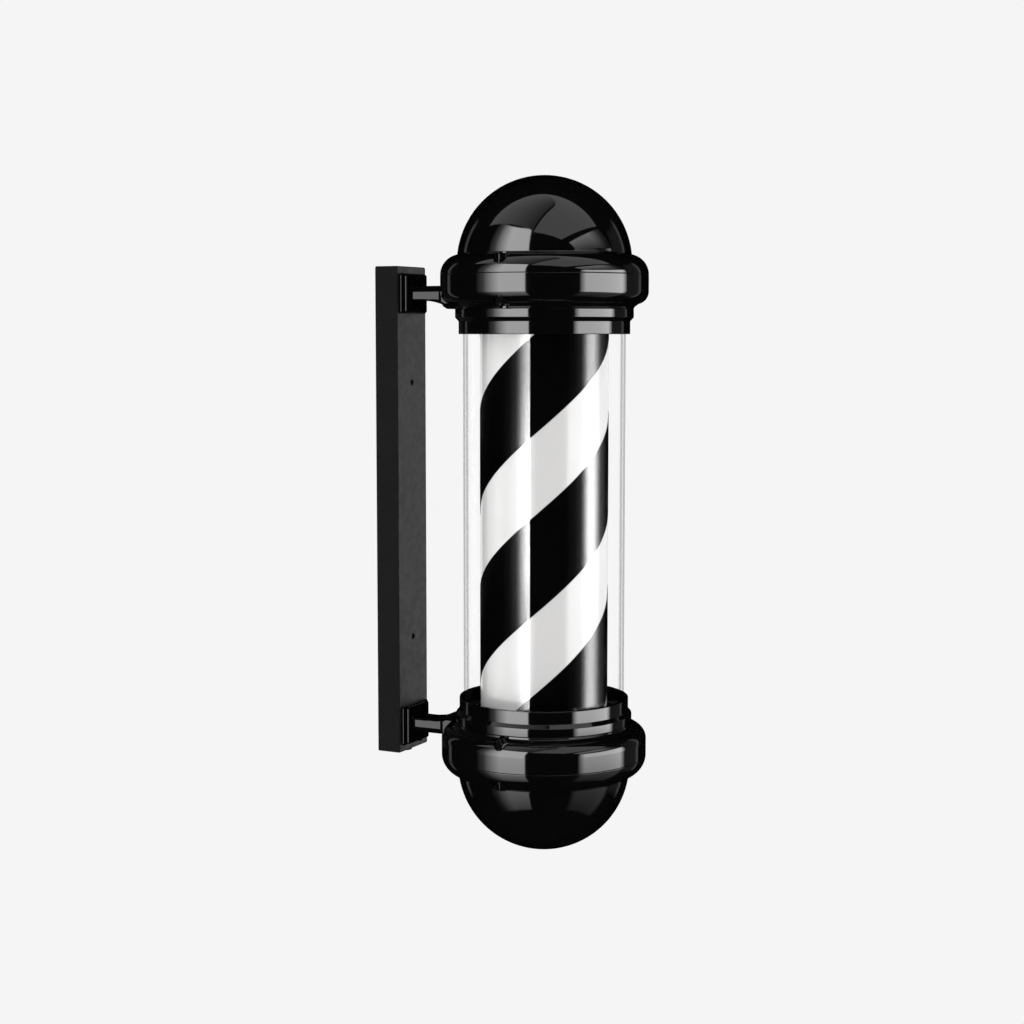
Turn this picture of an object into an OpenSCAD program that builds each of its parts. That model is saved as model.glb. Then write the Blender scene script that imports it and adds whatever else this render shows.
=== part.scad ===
// Wall mounted barber pole. A striped drum turns inside a clear tube, between two domed end caps
// that stand off a folded steel channel on two cast brackets.
// Origin: centre of the channel's back face, on the wall. Z is up, the wall is at +Y, the pole at -Y.

/* [Pole] */
// Height of the clear tube that shows between the neck rings
window_h = 377; // [340:1:460]
// Distance from the wall to the axis of the pole
pole_off = 183; // [172:1:220]
// Outer diameter of the clear tube
tube_d = 167.4; // [160:0.2:180]
// Wall of the clear tube
tube_t = 3; // [2:0.5:4]

/* [Neck rings] */
// Height of a neck ring from its rim to the groove under the collar
neck_h = 25.7; // [24:0.1:32]
// Height of the narrow part of a neck ring
neck_low_h = 13; // [8:0.5:15]
// Height of the slope between the two steps of a neck ring
neck_slope_h = 4; // [1:0.5:6]
// Wall of a neck ring outside the tube
neck_wall = 4.5; // [3.5:0.1:6]
// How far the wide step stands out beyond the narrow one
neck_step = 3.6; // [2:0.1:5]
// How far the tube reaches into a neck ring
tube_in = 13.5; // [10:0.5:16]
// Thickness of the tube gasket
gasket_t = 2; // [1:0.5:3]
// How far the shelf reaches in over the end of the tube
shelf_in = 2.7; // [2:0.1:4]

/* [Collars] */
// Height of a collar from the groove to the dome seam
collar_h = 34.5; // [34:0.1:42]
// How far the collar bulges out beyond the neck ring
bulge_proud = 15.2; // [14:0.1:18]
// Radius of the rounded edge of the collar on its tube side
corner_r = 13; // [11:0.5:15]
// Height of the centre of that rounded edge above the groove
corner_up = 17.8; // [16:0.1:20]
// Wall of a collar
collar_t = 4; // [3.5:0.1:5]

/* [Domes] */
// How far the dome is set in from the bulge
dome_inset = 17; // [17:0.1:20]
// Radius of the rounded shoulder below the dome
shoulder_r = 21; // [19:0.5:24]
// Height of the centre of the dome above the seam
dome_rise = 11.3; // [8:0.1:20]
// Wall of a dome
dome_t = 2.5; // [2:0.1:3.5]
// Depth of the spigot under the dome that drops into the collar
spigot_h = 5.6; // [4:0.1:8]
// Wall of that spigot
spigot_t = 2.2; // [1.8:0.1:3]

/* [Through bolts] */
// Diameter of the bolt thread
cap_d = 8; // [6:1:8]
// Diameter of the bolt head
cap_head_d = 13; // [12:0.5:14]
// Height of the bolt head
cap_head_h = 7.5; // [6:0.5:8]
// How far the bolt circle lies in from the bulge
cap_in = 9; // [8.5:0.1:10]
// Radius of the recess round each head and nut
notch_r = 8; // [7.6:0.1:8.6]
// Height of the recess floor above the seam, on the dome
notch_up = 10; // [8:0.5:12]
// Depth of the recess above the groove, on the collar
notch_in = 12.3; // [11:0.1:14]
// Thickness of a washer
washer_t = 1.6; // [1:0.2:2]

/* [End plates] */
// Thickness of an end plate
plate_t = 4; // [3:0.5:6]
// Height of the end plate above the floor of the collar
plate_up = 13; // [11:0.5:15]
// Diameter of the end plate screws
plate_screw_d = 5; // [4:1:6]

/* [Mounting channel] */
// Width of the channel
board_w = 62; // [58:1:80]
// Depth of the channel
board_d = 26.5; // [22:0.5:34]
// Sheet thickness of the channel
sheet_t = 2; // [1.5:0.5:3]
// Distance between the two wall screw holes
hole_span = 274; // [200:1:280]
// Diameter of the wall screw holes
hole_d = 6.5; // [5:0.5:8]
// Wall of the spacer sleeves behind those holes
sleeve_t = 3.25; // [2:0.25:5]
// Length of channel beyond each bracket foot
board_end = 7.5; // [4:0.5:20]

/* [Brackets] */
// Width of the bracket foot
foot_w = 53; // [50:1:56]
// Height of the bracket foot
foot_h = 42; // [42:1:48]
// Thickness of the bracket foot
foot_t = 3; // [3:0.5:6]
// Width of the raised pad on the foot
pad_w = 44; // [38:1:48]
// Thickness of the raised pad
pad_t = 4; // [3:0.5:6]
// Width of the arm
arm_w = 30; // [28:1:34]
// Height of the arm
arm_h = 15.5; // [14:0.5:16]
// Height of the middle of the arm above the groove
arm_up = 17; // [16.5:0.1:19]
// Width of the arm where it meets the collar
arm_root_w = 48; // [44:1:56]
// Radius of the curve that widens the arm towards the collar
arm_side_r = 9; // [6:1:14]
// Radius of the curve on the tube side of the arm
arm_flare_r = 62; // [50:1:70]
// Distance from the bulge over which that curve runs
arm_flare = 29; // [24:1:32]
// Distance between the two screws in a foot
foot_span = 31; // [29:0.5:32]
// Diameter of the screws in the foot
foot_screw_d = 5; // [4:0.5:6]
// Distance between the two bolts from the collar into the arm
arm_bolt_span = 21; // [20:0.5:22]
// Diameter of those bolts
arm_bolt_d = 6; // [5:0.5:6]
// Diameter of the wire passage through the arm
wire_bore_d = 9; // [6:0.5:9]

/* [Drum] */
// Outer diameter of the drum shell
drum_d = 132; // [120:1:140]
// Wall of the drum shell
drum_t = 1.5; // [1:0.5:3]
// How far the drum runs into each neck ring
drum_in = 21.5; // [20:0.5:23]
// Thickness of the striped film
film_t = 0.3; // [0.2:0.1:0.5]
// Height that a stripe climbs in one turn of the drum
stripe_lead = 364; // [240:4:480]
// Height of a dark stripe along the drum
stripe_h = 100; // [60:1:110]
// Bare shell beyond each end of the film
film_end = 12; // [10:0.5:14]
// Thickness of a drum disc
disc_t = 4; // [3:0.5:6]
// Height of the rim round a drum disc
rim_h = 12; // [10:0.5:16]

/* [Centre post] */
// Diameter of the hollow centre post
post_d = 20; // [18:1:22]
// Diameter of the bore in the post
post_bore = 14; // [10:1:14]
// Depth of the four flats that carry the lamp strips
flat_t = 1; // [0.5:0.25:1.5]
// Height of the nuts on the post
post_nut_h = 10; // [8:1:12]
// Wall of the drum bushes
bush_t = 3; // [2:0.5:4]
// Running clearance between a bush and the post, on the radius
run_gap = 0.05; // [0.02:0.01:0.1]

/* [Lamp strips] */
// Distance from the end of a lamp strip to the hub of the drum disc
strip_end = 13; // [10:0.5:60]
// Width of a lamp strip
strip_w = 8; // [6:0.5:8]
// Spacing of the lamps along a strip
lamp_pitch = 24; // [20:1:40]

/* [Drive] */
// Module of the gears
gear_m = 1.5; // [1.25:0.25:1.5]
// Number of teeth on the drum gear
gear_teeth = 54; // [48:1:56]
// Number of teeth on the motor pinion
pinion_teeth = 18; // [17:1:20]
// Face width of the drum gear
gear_t = 6.5; // [5:0.5:8]
// Diameter of the motor
motor_d = 50; // [44:1:54]
// Height of the motor
motor_h = 18; // [14:1:24]
// Diameter of the motor shaft
shaft_d = 7; // [5:0.5:8]

/* [Hidden] */
$fn = 96;

// Clearance between fixed pieces that slide into each other
fit_gap = 0.2;
// Clearance between a thread and its hole
thread_gap = 0.05;
// Clearance of a plain screw hole, on the radius
hole_gap = 0.25;
// Clearance between the tube and its ring
tube_gap = 0.4;
// How far the gasket reaches in past the bore of the tube
gasket_in = 1;
// Clearance between pieces that turn and pieces that stand still
move_gap = 0.3;
// Overshoot of a cut beyond the face that it opens
over = 1;
// How far a screw or boss stops short of the far face
end_gap = 0.5;

// Heights of the upper end, measured up from the middle of the pole
z_rim = window_h / 2;
z_groove = z_rim + neck_h;
z_seam = z_groove + collar_h;
z_dome = z_seam + dome_rise;
z_tube = z_rim + tube_in;
z_shelf = z_tube + gasket_t;
z_corner = z_groove + corner_up;
z_arm = z_groove + arm_up;
z_floor = z_corner - corner_r + collar_t;
z_plate = z_floor + plate_up;
z_notch_dome = z_seam + notch_up;
z_notch_collar = z_groove + notch_in;
// Thickness and width of the seal under the dome spigot
seal_t = 1.4;
seal_w = 1.2;
z_seal = z_seam - spigot_h - seal_t;

// Radii, from the tube outwards
tube_r = tube_d / 2;
bore_r = tube_r - tube_t;
shelf_r = bore_r - shelf_in;
neck_r = tube_r + neck_wall;
lip_r = neck_r + neck_step;
bulge_r = lip_r + bulge_proud;
dome_r = bulge_r - dome_inset;
lip_out = 0.7;
lip_up = 2;
cone_out = 5.2;
cone_r = lip_r + cone_out;
cone_dr = cone_r - (bulge_r - corner_r);
z_cone = z_corner - sqrt(corner_r * corner_r - cone_dr * cone_dr);

// Spigot of the dome and its rebate in the collar
rebate_in = 0.6;
rebate_r = bulge_r - collar_t + rebate_in;
spigot_r = rebate_r - fit_gap;

// Through bolts of the domes
cap_n = 2;
cap_angle = 180;
cap_r = bulge_r - cap_in;
cap_boss_r = 7;
cap_nut_af = 13;
cap_nut_h = 6.5;
cap_tip = 2.5;
cap_washer_r = cap_head_d / 2 + 0.8;
// Floor and wall round each recess
notch_floor = 3;
notch_wall = 2.5;

// End plates and their screws, on lugs between the through bolts and the neck ring screws
plate_gap = 1;
plate_r = cap_r - cap_boss_r - plate_gap;
lug_r = 6.5;
lug_circle = shelf_r + lug_r + end_gap;
lug_n = 4;
lug_angle = 22.5;
wire_hole_r = 6;
wire_hole_at = [-40, 52];

// Neck ring screws
neck_screw_n = 4;
neck_screw_d = 4;
neck_screw_angle = 45;
neck_screw_r = (shelf_r + lip_r) / 2;
neck_screw_in = 7;

// Channel
board_h = 2 * (z_arm + foot_h / 2 + board_end);
face_y = pole_off - board_d;
grommet_r = 7;
grommet_bore = 4;
grommet_lip = 2.4;

// Bracket
arm_top = z_arm + arm_h / 2;
arm_low = z_arm - arm_h / 2;
arm_flat_y = bulge_r + arm_flare;
arm_widen = 10;
arm_side_y = bulge_r + arm_widen;
pad_y = face_y - foot_t - pad_t;
pad_in = 1;
foot_nut_af = 1.6 * foot_screw_d;
foot_nut_h = 0.8 * foot_screw_d;
foot_tip = 2;
foot_round = 2;
root_r = 3;
arm_bolt_in = 14;
arm_bolt_head_d = 1.6 * arm_bolt_d;
seat_t = 6;
seat_y = bulge_r - collar_t - seat_t;
seat_w = arm_bolt_span + 15;
seat_h = 15;

// Drum, running on the post
drum_r = drum_d / 2;
drum_half = z_rim + drum_in;
disc_r = drum_r - drum_t - fit_gap / 2;
hub_up = 10;
hub_h = disc_t + hub_up;
hub_wall = 3;
rim_t = 3.5;
post_r = post_d / 2;
bush_r = post_r + run_gap + bush_t;
bush_flange = 2;
bush_flange_r = bush_r + hub_wall;
hub_r = bush_r + hub_wall;
disc_screw_n = 4;
disc_screw_d = 3;

// Striped film: a band of flat strips, each one step wide, that climbs one step for each slice
film_half = drum_half - film_end;
stripe_turn = stripe_h / stripe_lead * 360;
stripe_twist = 2 * film_half / stripe_lead * 360;
stripe_steps = 12;
stripe_step = stripe_turn / stripe_steps;
film_gap = 0.04;
film_r = drum_r / cos(stripe_step / 2) + film_gap;
// Direction of the middle of one dark stripe at mid height
stripe_angle = 240;

// Post and its thrust collar
post_collar_h = 10;
post_collar_wall = 7;
post_collar_r = post_r + post_collar_wall;
post_collar_screw_d = 4;
thrust_t = 1;
z_thrust = drum_half + bush_flange + move_gap;
post_washer_r = 18;
post_washer_t = 2;
post_nut_af = 30;
post_tip = 2;
strip_h = 2 * (drum_half - hub_h - strip_end);
post_end = z_plate + plate_t + post_washer_t + post_nut_h + post_tip;
lead_hole_r = 2.5;
lead_hole_up = 5;
lead_hole_z = strip_h / 2 + lead_hole_up;

// Lamp strips
strip_t = 0.8;
lamp = [5, 1.6, 5];

// Gears and motor
gear_r = gear_m * gear_teeth / 2;
pinion_r = gear_m * pinion_teeth / 2;
drive_y = -(gear_r + pinion_r);
pressure = 20;
backlash = 0.12;
tooth_top = 0.95;
tooth_root = 1.25;
gear_bore_gap = 3;
gear_bore_r = post_collar_r + gear_bore_gap;
gear_screw_n = 3;
gear_screw_r = (gear_bore_r + gear_r - 2 * gear_m) / 2;
gear_screw_d = 3;
pinion_hub_wall = 3.5;
pinion_hub_r = shaft_d / 2 + pinion_hub_wall;
pinion_screw_d = 3;
pinion_hub_h = 7;
z_pinion = drum_half + 2 * move_gap;
pinion_t = gear_t + move_gap;
motor_ear_r = 5;
motor_ear = motor_d / 2 + motor_ear_r;
motor_ear_t = 1.5;
motor_screw_d = 4;
motor_boss_wall = 4;
motor_boss_r = shaft_d / 2 + motor_boss_wall;
motor_boss_h = plate_t - end_gap;
motor_base = 4;
motor_bore_h = motor_h - motor_base;
z_motor = z_plate + plate_t;

// Driver and terminal block under the lower end plate
driver_at = [22, 48];
driver = [52, 26, 20];
driver_foot_t = 2;
driver_foot_l = 8;
driver_span = driver[0] + driver_foot_l;
driver_left = driver_at[0] - driver[0] / 2;
driver_screw_d = 3;
terminal_at = [-48, 25];
terminal = [34, 16, 14];
terminal_screw_d = 3;
terminal_well = 4;
terminal_well_r = 3;
terminal_back = terminal_at[1] - terminal[1] / 2;
terminal_front = terminal_at[1] + terminal[1] / 2;

// Leads
lead_r = 1.25;
lead_sides = 8;
lead_z = z_motor + 10;
lead_y = -post_r - lead_r - 0.1;
motor_side = motor_d / 2 + move_gap;
motor_lead_out = 34;
motor_lead_up = 30;
lead_drop = 12;
lead_reach = 16;
lead_end = 14;
// A direction that no stretch of a lead runs along
lead_side = [0.35, 0.8, 0.5];

// Places and repeats

module at_pole() {
    translate([0, -pole_off, 0]) children();
}

module lower_end() {
    mirror([0, 0, 1]) children();
}

module both_ends() {
    children();
    lower_end() children();
}

module around(n, r, start) {
    for (i = [0 : n - 1]) {
        rotate(start + i * 360 / n) translate([r, 0, 0]) children();
    }
}

// Extrude a drawing of X and Z from y0 to y1
module along_y(y0, y1) {
    translate([0, y1, 0]) rotate([90, 0, 0]) linear_extrude(y1 - y0) children();
}

// Extrude a drawing of Y and Z to a width centred on the YZ plane
module along_x(width) {
    translate([-width / 2, 0, 0]) rotate([90, 0, 90]) linear_extrude(width) children();
}

module ring(outer, inner, z0, z1) {
    translate([0, 0, z0]) difference() {
        cylinder(h = z1 - z0, r = outer);
        translate([0, 0, -over]) cylinder(h = z1 - z0 + 2 * over, r = inner);
    }
}

module round_rect(w, h, r) {
    square([w - 2 * r, h], center = true);
    square([w, h - 2 * r], center = true);
    for (x = [-1, 1], y = [-1, 1]) {
        translate([x * (w / 2 - r), y * (h / 2 - r)]) circle(r, $fn = 32);
    }
}

// Fasteners: the head stands on z = 0 and the thread hangs below

module cap_screw(d, len, head_d, head_h) {
    difference() {
        union() {
            cylinder(h = head_h, r = head_d / 2, $fn = 48);
            translate([0, 0, -len]) cylinder(h = len + head_h / 2, r = d / 2, $fn = 32);
        }
        translate([0, 0, head_h / 2]) cylinder(h = head_h, r = d * 0.43, $fn = 6);
    }
}

module pan_screw(d, len) {
    difference() {
        union() {
            cylinder(h = 0.4 * d, r = 0.95 * d, $fn = 48);
            translate([0, 0, 0.4 * d]) cylinder(h = 0.2 * d, r1 = 0.95 * d, r2 = 0.7 * d, $fn = 48);
            translate([0, 0, -len]) cylinder(h = len + 0.1 * d, r = d / 2, $fn = 32);
        }
        for (turn = [0, 90]) {
            rotate(turn) translate([-0.5 * d, -0.1 * d, 0.35 * d]) cube([d, 0.2 * d, d]);
        }
    }
}

module hex_nut(af, h, d) {
    difference() {
        cylinder(h = h, r = af / 2 / cos(30), $fn = 6);
        translate([0, 0, -over]) cylinder(h = h + 2 * over, r = d / 2 + thread_gap, $fn = 32);
    }
}

module washer(outer, d, t) {
    difference() {
        cylinder(h = t, r = outer, $fn = 48);
        translate([0, 0, -over]) cylinder(h = t + 2 * over, r = d / 2 + hole_gap, $fn = 32);
    }
}

module set_screw(d, len) {
    difference() {
        cylinder(h = len, r = d / 2, $fn = 32);
        translate([0, 0, len - d / 2]) cylinder(h = d, r = d / 4, $fn = 6);
    }
}

// Mounting channel and what is fixed in it

module mounting_channel() color("#2b2b2b") difference() {
    translate([-board_w / 2, -board_d, -board_h / 2]) cube([board_w, board_d, board_h]);
    translate([-board_w / 2 + sheet_t, -board_d + sheet_t, -board_h / 2 + sheet_t])
        cube([board_w - 2 * sheet_t, board_d, board_h - 2 * sheet_t]);
    for (side = [-1, 1]) {
        translate([0, -board_d - over, side * hole_span / 2]) rotate([-90, 0, 0])
            cylinder(h = sheet_t + 2 * over, r = hole_d / 2, $fn = 48);
        for (up = [-1, 1]) {
            translate([0, -board_d - over, side * z_arm + up * foot_span / 2]) rotate([-90, 0, 0])
                cylinder(h = sheet_t + 2 * over, r = foot_screw_d / 2 + hole_gap, $fn = 48);
        }
    }
    translate([0, -board_d - over, -z_arm]) rotate([-90, 0, 0])
        cylinder(h = sheet_t + 2 * over, r = wire_bore_d / 2, $fn = 48);
    translate([0, -board_d / 2, -board_h / 2 - over])
        cylinder(h = sheet_t + 2 * over, r = grommet_r, $fn = 48);
}

module wall_spacers() color("#6b6b6b") for (side = [-1, 1]) {
    translate([0, -board_d + sheet_t, side * hole_span / 2]) rotate([-90, 0, 0])
        ring(hole_d / 2 + sleeve_t, hole_d / 2, 0, board_d - sheet_t);
}

module cable_grommet() color("#1a1a1a") translate([0, -board_d / 2, -board_h / 2]) {
    ring(grommet_r - fit_gap / 2, grommet_bore, -over, sheet_t + over);
    ring(grommet_r + grommet_lip, grommet_bore, -grommet_lip, 0);
    ring(grommet_r + grommet_lip, grommet_bore, sheet_t, sheet_t + grommet_lip);
}

// Collars

module collar_outline() {
    polygon([[0, z_groove], [lip_r, z_groove], [lip_r + lip_out, z_groove + lip_up], [cone_r, z_cone],
        [bulge_r, z_corner], [bulge_r, z_seam], [0, z_seam]]);
    translate([bulge_r - corner_r, z_corner]) circle(corner_r);
}

module collar_hollow() {
    translate([0, z_floor]) square([bulge_r - corner_r, z_seam - z_floor + over]);
    translate([0, z_corner]) square([bulge_r - collar_t, z_seam - z_corner + over]);
    translate([bulge_r - corner_r, z_corner]) circle(corner_r - collar_t);
    translate([0, z_seal]) square([rebate_r, z_seam - z_seal + over]);
    translate([0, z_groove - over]) square([shelf_r, collar_h]);
}

module collar_solid() {
    rotate_extrude() collar_outline();
}

module collar() color("#101010") difference() {
    union() {
        rotate_extrude() difference() {
            collar_outline();
            collar_hollow();
        }
        intersection() {
            collar_solid();
            union() {
                around(cap_n, cap_r, cap_angle) {
                    translate([0, 0, z_groove])
                        cylinder(h = notch_in + notch_floor, r = notch_r + notch_wall);
                    translate([0, 0, z_notch_collar])
                        cylinder(h = z_seal - z_notch_collar, r = cap_boss_r);
                }
                around(lug_n, lug_circle, lug_angle) {
                    translate([0, 0, z_floor - over]) cylinder(h = plate_up + over, r = lug_r);
                }
                translate([-seat_w / 2, seat_y, z_arm - seat_h / 2])
                    cube([seat_w, bulge_r - collar_t / 2 - seat_y, seat_h]);
            }
        }
    }
    around(cap_n, cap_r, cap_angle) {
        translate([0, 0, z_groove - over]) cylinder(h = notch_in + over, r = notch_r);
        translate([0, 0, z_groove]) cylinder(h = collar_h, r = cap_d / 2 + hole_gap);
    }
    around(lug_n, lug_circle, lug_angle) {
        translate([0, 0, z_floor]) cylinder(h = collar_h, r = plate_screw_d / 2 + thread_gap);
    }
    around(neck_screw_n, neck_screw_r, neck_screw_angle) {
        translate([0, 0, z_groove - over]) cylinder(h = collar_h, r = neck_screw_d / 2 + hole_gap);
    }
    for (side = [-1, 1]) {
        translate([side * arm_bolt_span / 2, seat_y - over, z_arm]) rotate([-90, 0, 0])
            cylinder(h = bulge_r, r = arm_bolt_d / 2 + hole_gap);
    }
    translate([0, seat_y - over, z_arm]) rotate([-90, 0, 0])
        cylinder(h = bulge_r, r = wire_bore_d / 2);
}

module upper_collar() at_pole() collar();

module lower_collar() at_pole() lower_end() collar();

// Neck rings, tube and gaskets

module neck_ring() color("#101010") difference() {
    rotate_extrude() polygon([[tube_r + tube_gap, z_rim], [neck_r, z_rim],
        [neck_r, z_rim + neck_low_h], [lip_r, z_rim + neck_low_h + neck_slope_h], [lip_r, z_groove],
        [shelf_r, z_groove], [shelf_r, z_shelf], [tube_r + tube_gap, z_shelf]]);
    around(neck_screw_n, neck_screw_r, neck_screw_angle) {
        translate([0, 0, z_groove - neck_screw_in]) cylinder(h = neck_h, r = neck_screw_d / 2 + thread_gap);
    }
}

module upper_neck_ring() at_pole() neck_ring();

module lower_neck_ring() at_pole() lower_end() neck_ring();

module neck_ring_screws() color("#8a8a8a") at_pole() both_ends()
    around(neck_screw_n, neck_screw_r, neck_screw_angle)
        translate([0, 0, z_floor])
            pan_screw(neck_screw_d, z_floor - z_groove + neck_screw_in - end_gap);

module outer_tube() color("#dfe8ee", 0.35) at_pole() ring(tube_r, bore_r, -z_tube, z_tube);

module tube_gaskets() color("#1c1c1c") at_pole() both_ends()
    ring(tube_r, bore_r - gasket_in, z_tube, z_shelf);

// End plates: one shape, with the motor's and the wire's holes used at the lower end

module end_plate() color("#9aa0a4") difference() {
    translate([0, 0, z_plate]) cylinder(h = plate_t, r = plate_r);
    translate([0, 0, z_plate - over]) {
        cylinder(h = plate_t + 2 * over, r = post_r + fit_gap);
        around(lug_n, lug_circle, lug_angle)
            cylinder(h = plate_t + 2 * over, r = plate_screw_d / 2 + hole_gap);
        translate(wire_hole_at) cylinder(h = plate_t + 2 * over, r = wire_hole_r);
        translate([0, drive_y]) cylinder(h = plate_t + 2 * over, r = motor_boss_r + fit_gap);
        for (side = [-1, 1]) {
            translate([side * motor_ear, drive_y])
                cylinder(h = plate_t + 2 * over, r = motor_screw_d / 2 + thread_gap);
            translate([driver_at[0] + side * driver_span / 2, driver_at[1]])
                cylinder(h = plate_t + 2 * over, r = driver_screw_d / 2 + thread_gap);
        }
        translate(terminal_at)
            cylinder(h = plate_t + 2 * over, r = terminal_screw_d / 2 + thread_gap);
    }
}

module upper_end_plate() at_pole() end_plate();

module lower_end_plate() at_pole() lower_end() end_plate();

module plate_screws() color("#8a8a8a") at_pole() both_ends() around(lug_n, lug_circle, lug_angle) {
    translate([0, 0, z_plate + plate_t]) pan_screw(plate_screw_d, plate_t + plate_up - end_gap);
}

// Domes, each one shell with its rounded shoulder, spigot and bolt pillars

module dome_outline(inset) {
    intersection() {
        translate([0, z_dome]) circle(dome_r - inset);
        translate([0, z_seam]) square([bulge_r, dome_rise + dome_r]);
    }
    intersection() {
        translate([bulge_r - shoulder_r, z_seam]) circle(shoulder_r - inset);
        translate([0, z_seam]) square([bulge_r, shoulder_r]);
    }
    translate([0, z_seam]) square([bulge_r - shoulder_r, shoulder_r - inset]);
}

module dome() color("#101010") difference() {
    union() {
        rotate_extrude() difference() {
            dome_outline(0);
            dome_outline(dome_t);
            translate([0, z_seam - over]) square([bulge_r - shoulder_r, 2 * over]);
        }
        ring(spigot_r, spigot_r - spigot_t, z_seam - spigot_h, z_seam + dome_t);
        intersection() {
            around(cap_n, cap_r, cap_angle) {
                translate([0, 0, z_notch_dome - notch_floor])
                    cylinder(h = shoulder_r, r = notch_r + notch_wall);
                translate([0, 0, z_seam - spigot_h]) cylinder(h = notch_up + spigot_h, r = cap_boss_r);
            }
            union() {
                rotate_extrude() dome_outline(0);
                translate([0, 0, z_seam - spigot_h]) cylinder(h = 2 * spigot_h, r = spigot_r);
            }
        }
    }
    around(cap_n, cap_r, cap_angle) {
        translate([0, 0, z_notch_dome]) cylinder(h = shoulder_r, r = notch_r);
        translate([0, 0, z_groove]) cylinder(h = 2 * collar_h, r = cap_d / 2 + hole_gap);
    }
}

module upper_dome() at_pole() dome();

module lower_dome() at_pole() lower_end() dome();

module dome_seals() color("#1c1c1c") at_pole() both_ends()
    ring(spigot_r, spigot_r - seal_w, z_seal, z_seam - spigot_h);

module cap_bolts() color("#181818") at_pole() both_ends() around(cap_n, cap_r, cap_angle) {
    translate([0, 0, z_notch_dome + washer_t])
        cap_screw(cap_d, z_notch_dome - z_notch_collar + 2 * washer_t + cap_nut_h + cap_tip,
            cap_head_d, cap_head_h);
}

module cap_washers() color("#181818") at_pole() both_ends() around(cap_n, cap_r, cap_angle) {
    translate([0, 0, z_notch_dome]) washer(cap_washer_r, cap_d, washer_t);
    translate([0, 0, z_notch_collar - washer_t]) washer(cap_washer_r, cap_d, washer_t);
}

module cap_nuts() color("#181818") at_pole() both_ends() around(cap_n, cap_r, cap_angle) {
    translate([0, 0, z_notch_collar - washer_t - cap_nut_h]) hex_nut(cap_nut_af, cap_nut_h, cap_d);
}

// Brackets: a foot with a raised pad, and an arm that widens towards the collar

module arm_side_view() {
    difference() {
        translate([lip_r, z_groove + move_gap])
            square([face_y - foot_t - lip_r, arm_top - z_groove - move_gap]);
        translate([arm_flat_y, arm_low - arm_flare_r]) circle(arm_flare_r);
        translate([arm_flat_y, z_groove]) square([face_y, arm_low - z_groove]);
    }
    for (side = [-1, 1]) {
        difference() {
            translate([pad_y - root_r, z_arm - root_r / 2 + side * (arm_h + root_r) / 2])
                square([root_r + pad_t, root_r]);
            translate([pad_y - root_r, z_arm + side * (arm_h / 2 + root_r)]) circle(root_r, $fn = 48);
        }
    }
}

module arm_top_view() {
    translate([-arm_w / 2, 0]) square([arm_w, face_y - foot_t]);
    difference() {
        translate([-arm_root_w / 2, 0]) square([arm_root_w, arm_side_y]);
        for (side = [-1, 1]) {
            translate([side * (arm_w / 2 + arm_side_r), arm_side_y]) circle(arm_side_r);
        }
    }
}

module bracket() color("#101010") difference() {
    union() {
        along_y(face_y - foot_t, face_y) translate([0, z_arm]) round_rect(foot_w, foot_h, foot_round);
        along_y(pad_y, face_y - foot_t) translate([0, z_arm])
            round_rect(pad_w, foot_h - 2 * pad_in, foot_round);
        intersection() {
            along_x(arm_root_w + 2 * over) arm_side_view();
            translate([0, 0, z_groove]) linear_extrude(collar_h) arm_top_view();
        }
    }
    collar_solid();
    for (side = [-1, 1]) {
        translate([side * arm_bolt_span / 2, 0, z_arm]) rotate([-90, 0, 0])
            cylinder(h = bulge_r + arm_bolt_in, r = arm_bolt_d / 2 + thread_gap);
        translate([0, pad_y - over, z_arm + side * foot_span / 2]) rotate([-90, 0, 0])
            cylinder(h = foot_t + pad_t + 2 * over, r = foot_screw_d / 2 + hole_gap);
    }
    translate([0, 0, z_arm]) rotate([-90, 0, 0]) cylinder(h = pole_off, r = wire_bore_d / 2);
}

module upper_bracket() at_pole() bracket();

module lower_bracket() at_pole() lower_end() bracket();

module bracket_screws() color("#3a3a3a") at_pole() both_ends() for (side = [-1, 1]) {
    translate([0, pad_y, z_arm + side * foot_span / 2]) rotate([90, 0, 0])
        pan_screw(foot_screw_d, foot_t + pad_t + sheet_t + foot_nut_h + foot_tip);
}

module bracket_nuts() color("#8a8a8a") at_pole() both_ends() for (side = [-1, 1]) {
    translate([0, face_y + sheet_t, z_arm + side * foot_span / 2]) rotate([-90, 0, 0])
        hex_nut(foot_nut_af, foot_nut_h, foot_screw_d);
}

module arm_bolts() color("#8a8a8a") at_pole() both_ends() for (side = [-1, 1]) {
    translate([side * arm_bolt_span / 2, seat_y, z_arm]) rotate([90, 0, 0])
        cap_screw(arm_bolt_d, bulge_r + arm_bolt_in - seat_y - end_gap, arm_bolt_head_d, arm_bolt_d);
}

// Centre post, which ties the two end plates together through the drum

module centre_post() color("#b9bdc0") at_pole() difference() {
    translate([0, 0, -post_end]) cylinder(h = 2 * post_end, r = post_r);
    translate([0, 0, -post_end - over]) cylinder(h = 2 * (post_end + over), r = post_bore / 2);
    for (turn = [0 : 90 : 270]) {
        rotate(turn) translate([-post_r, post_r - flat_t, -strip_h / 2])
            cube([post_d, post_r, strip_h]);
    }
    translate([0, 0, -lead_hole_z]) rotate([90, 0, 0]) cylinder(h = post_d, r = lead_hole_r, $fn = 32);
}

module post_washers() color("#8a8a8a") at_pole() both_ends()
    ring(post_washer_r, post_r + fit_gap, z_plate + plate_t, z_plate + plate_t + post_washer_t);

module post_nuts() color("#8a8a8a") at_pole() both_ends()
    translate([0, 0, z_plate + plate_t + post_washer_t]) hex_nut(post_nut_af, post_nut_h, post_d);

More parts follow.
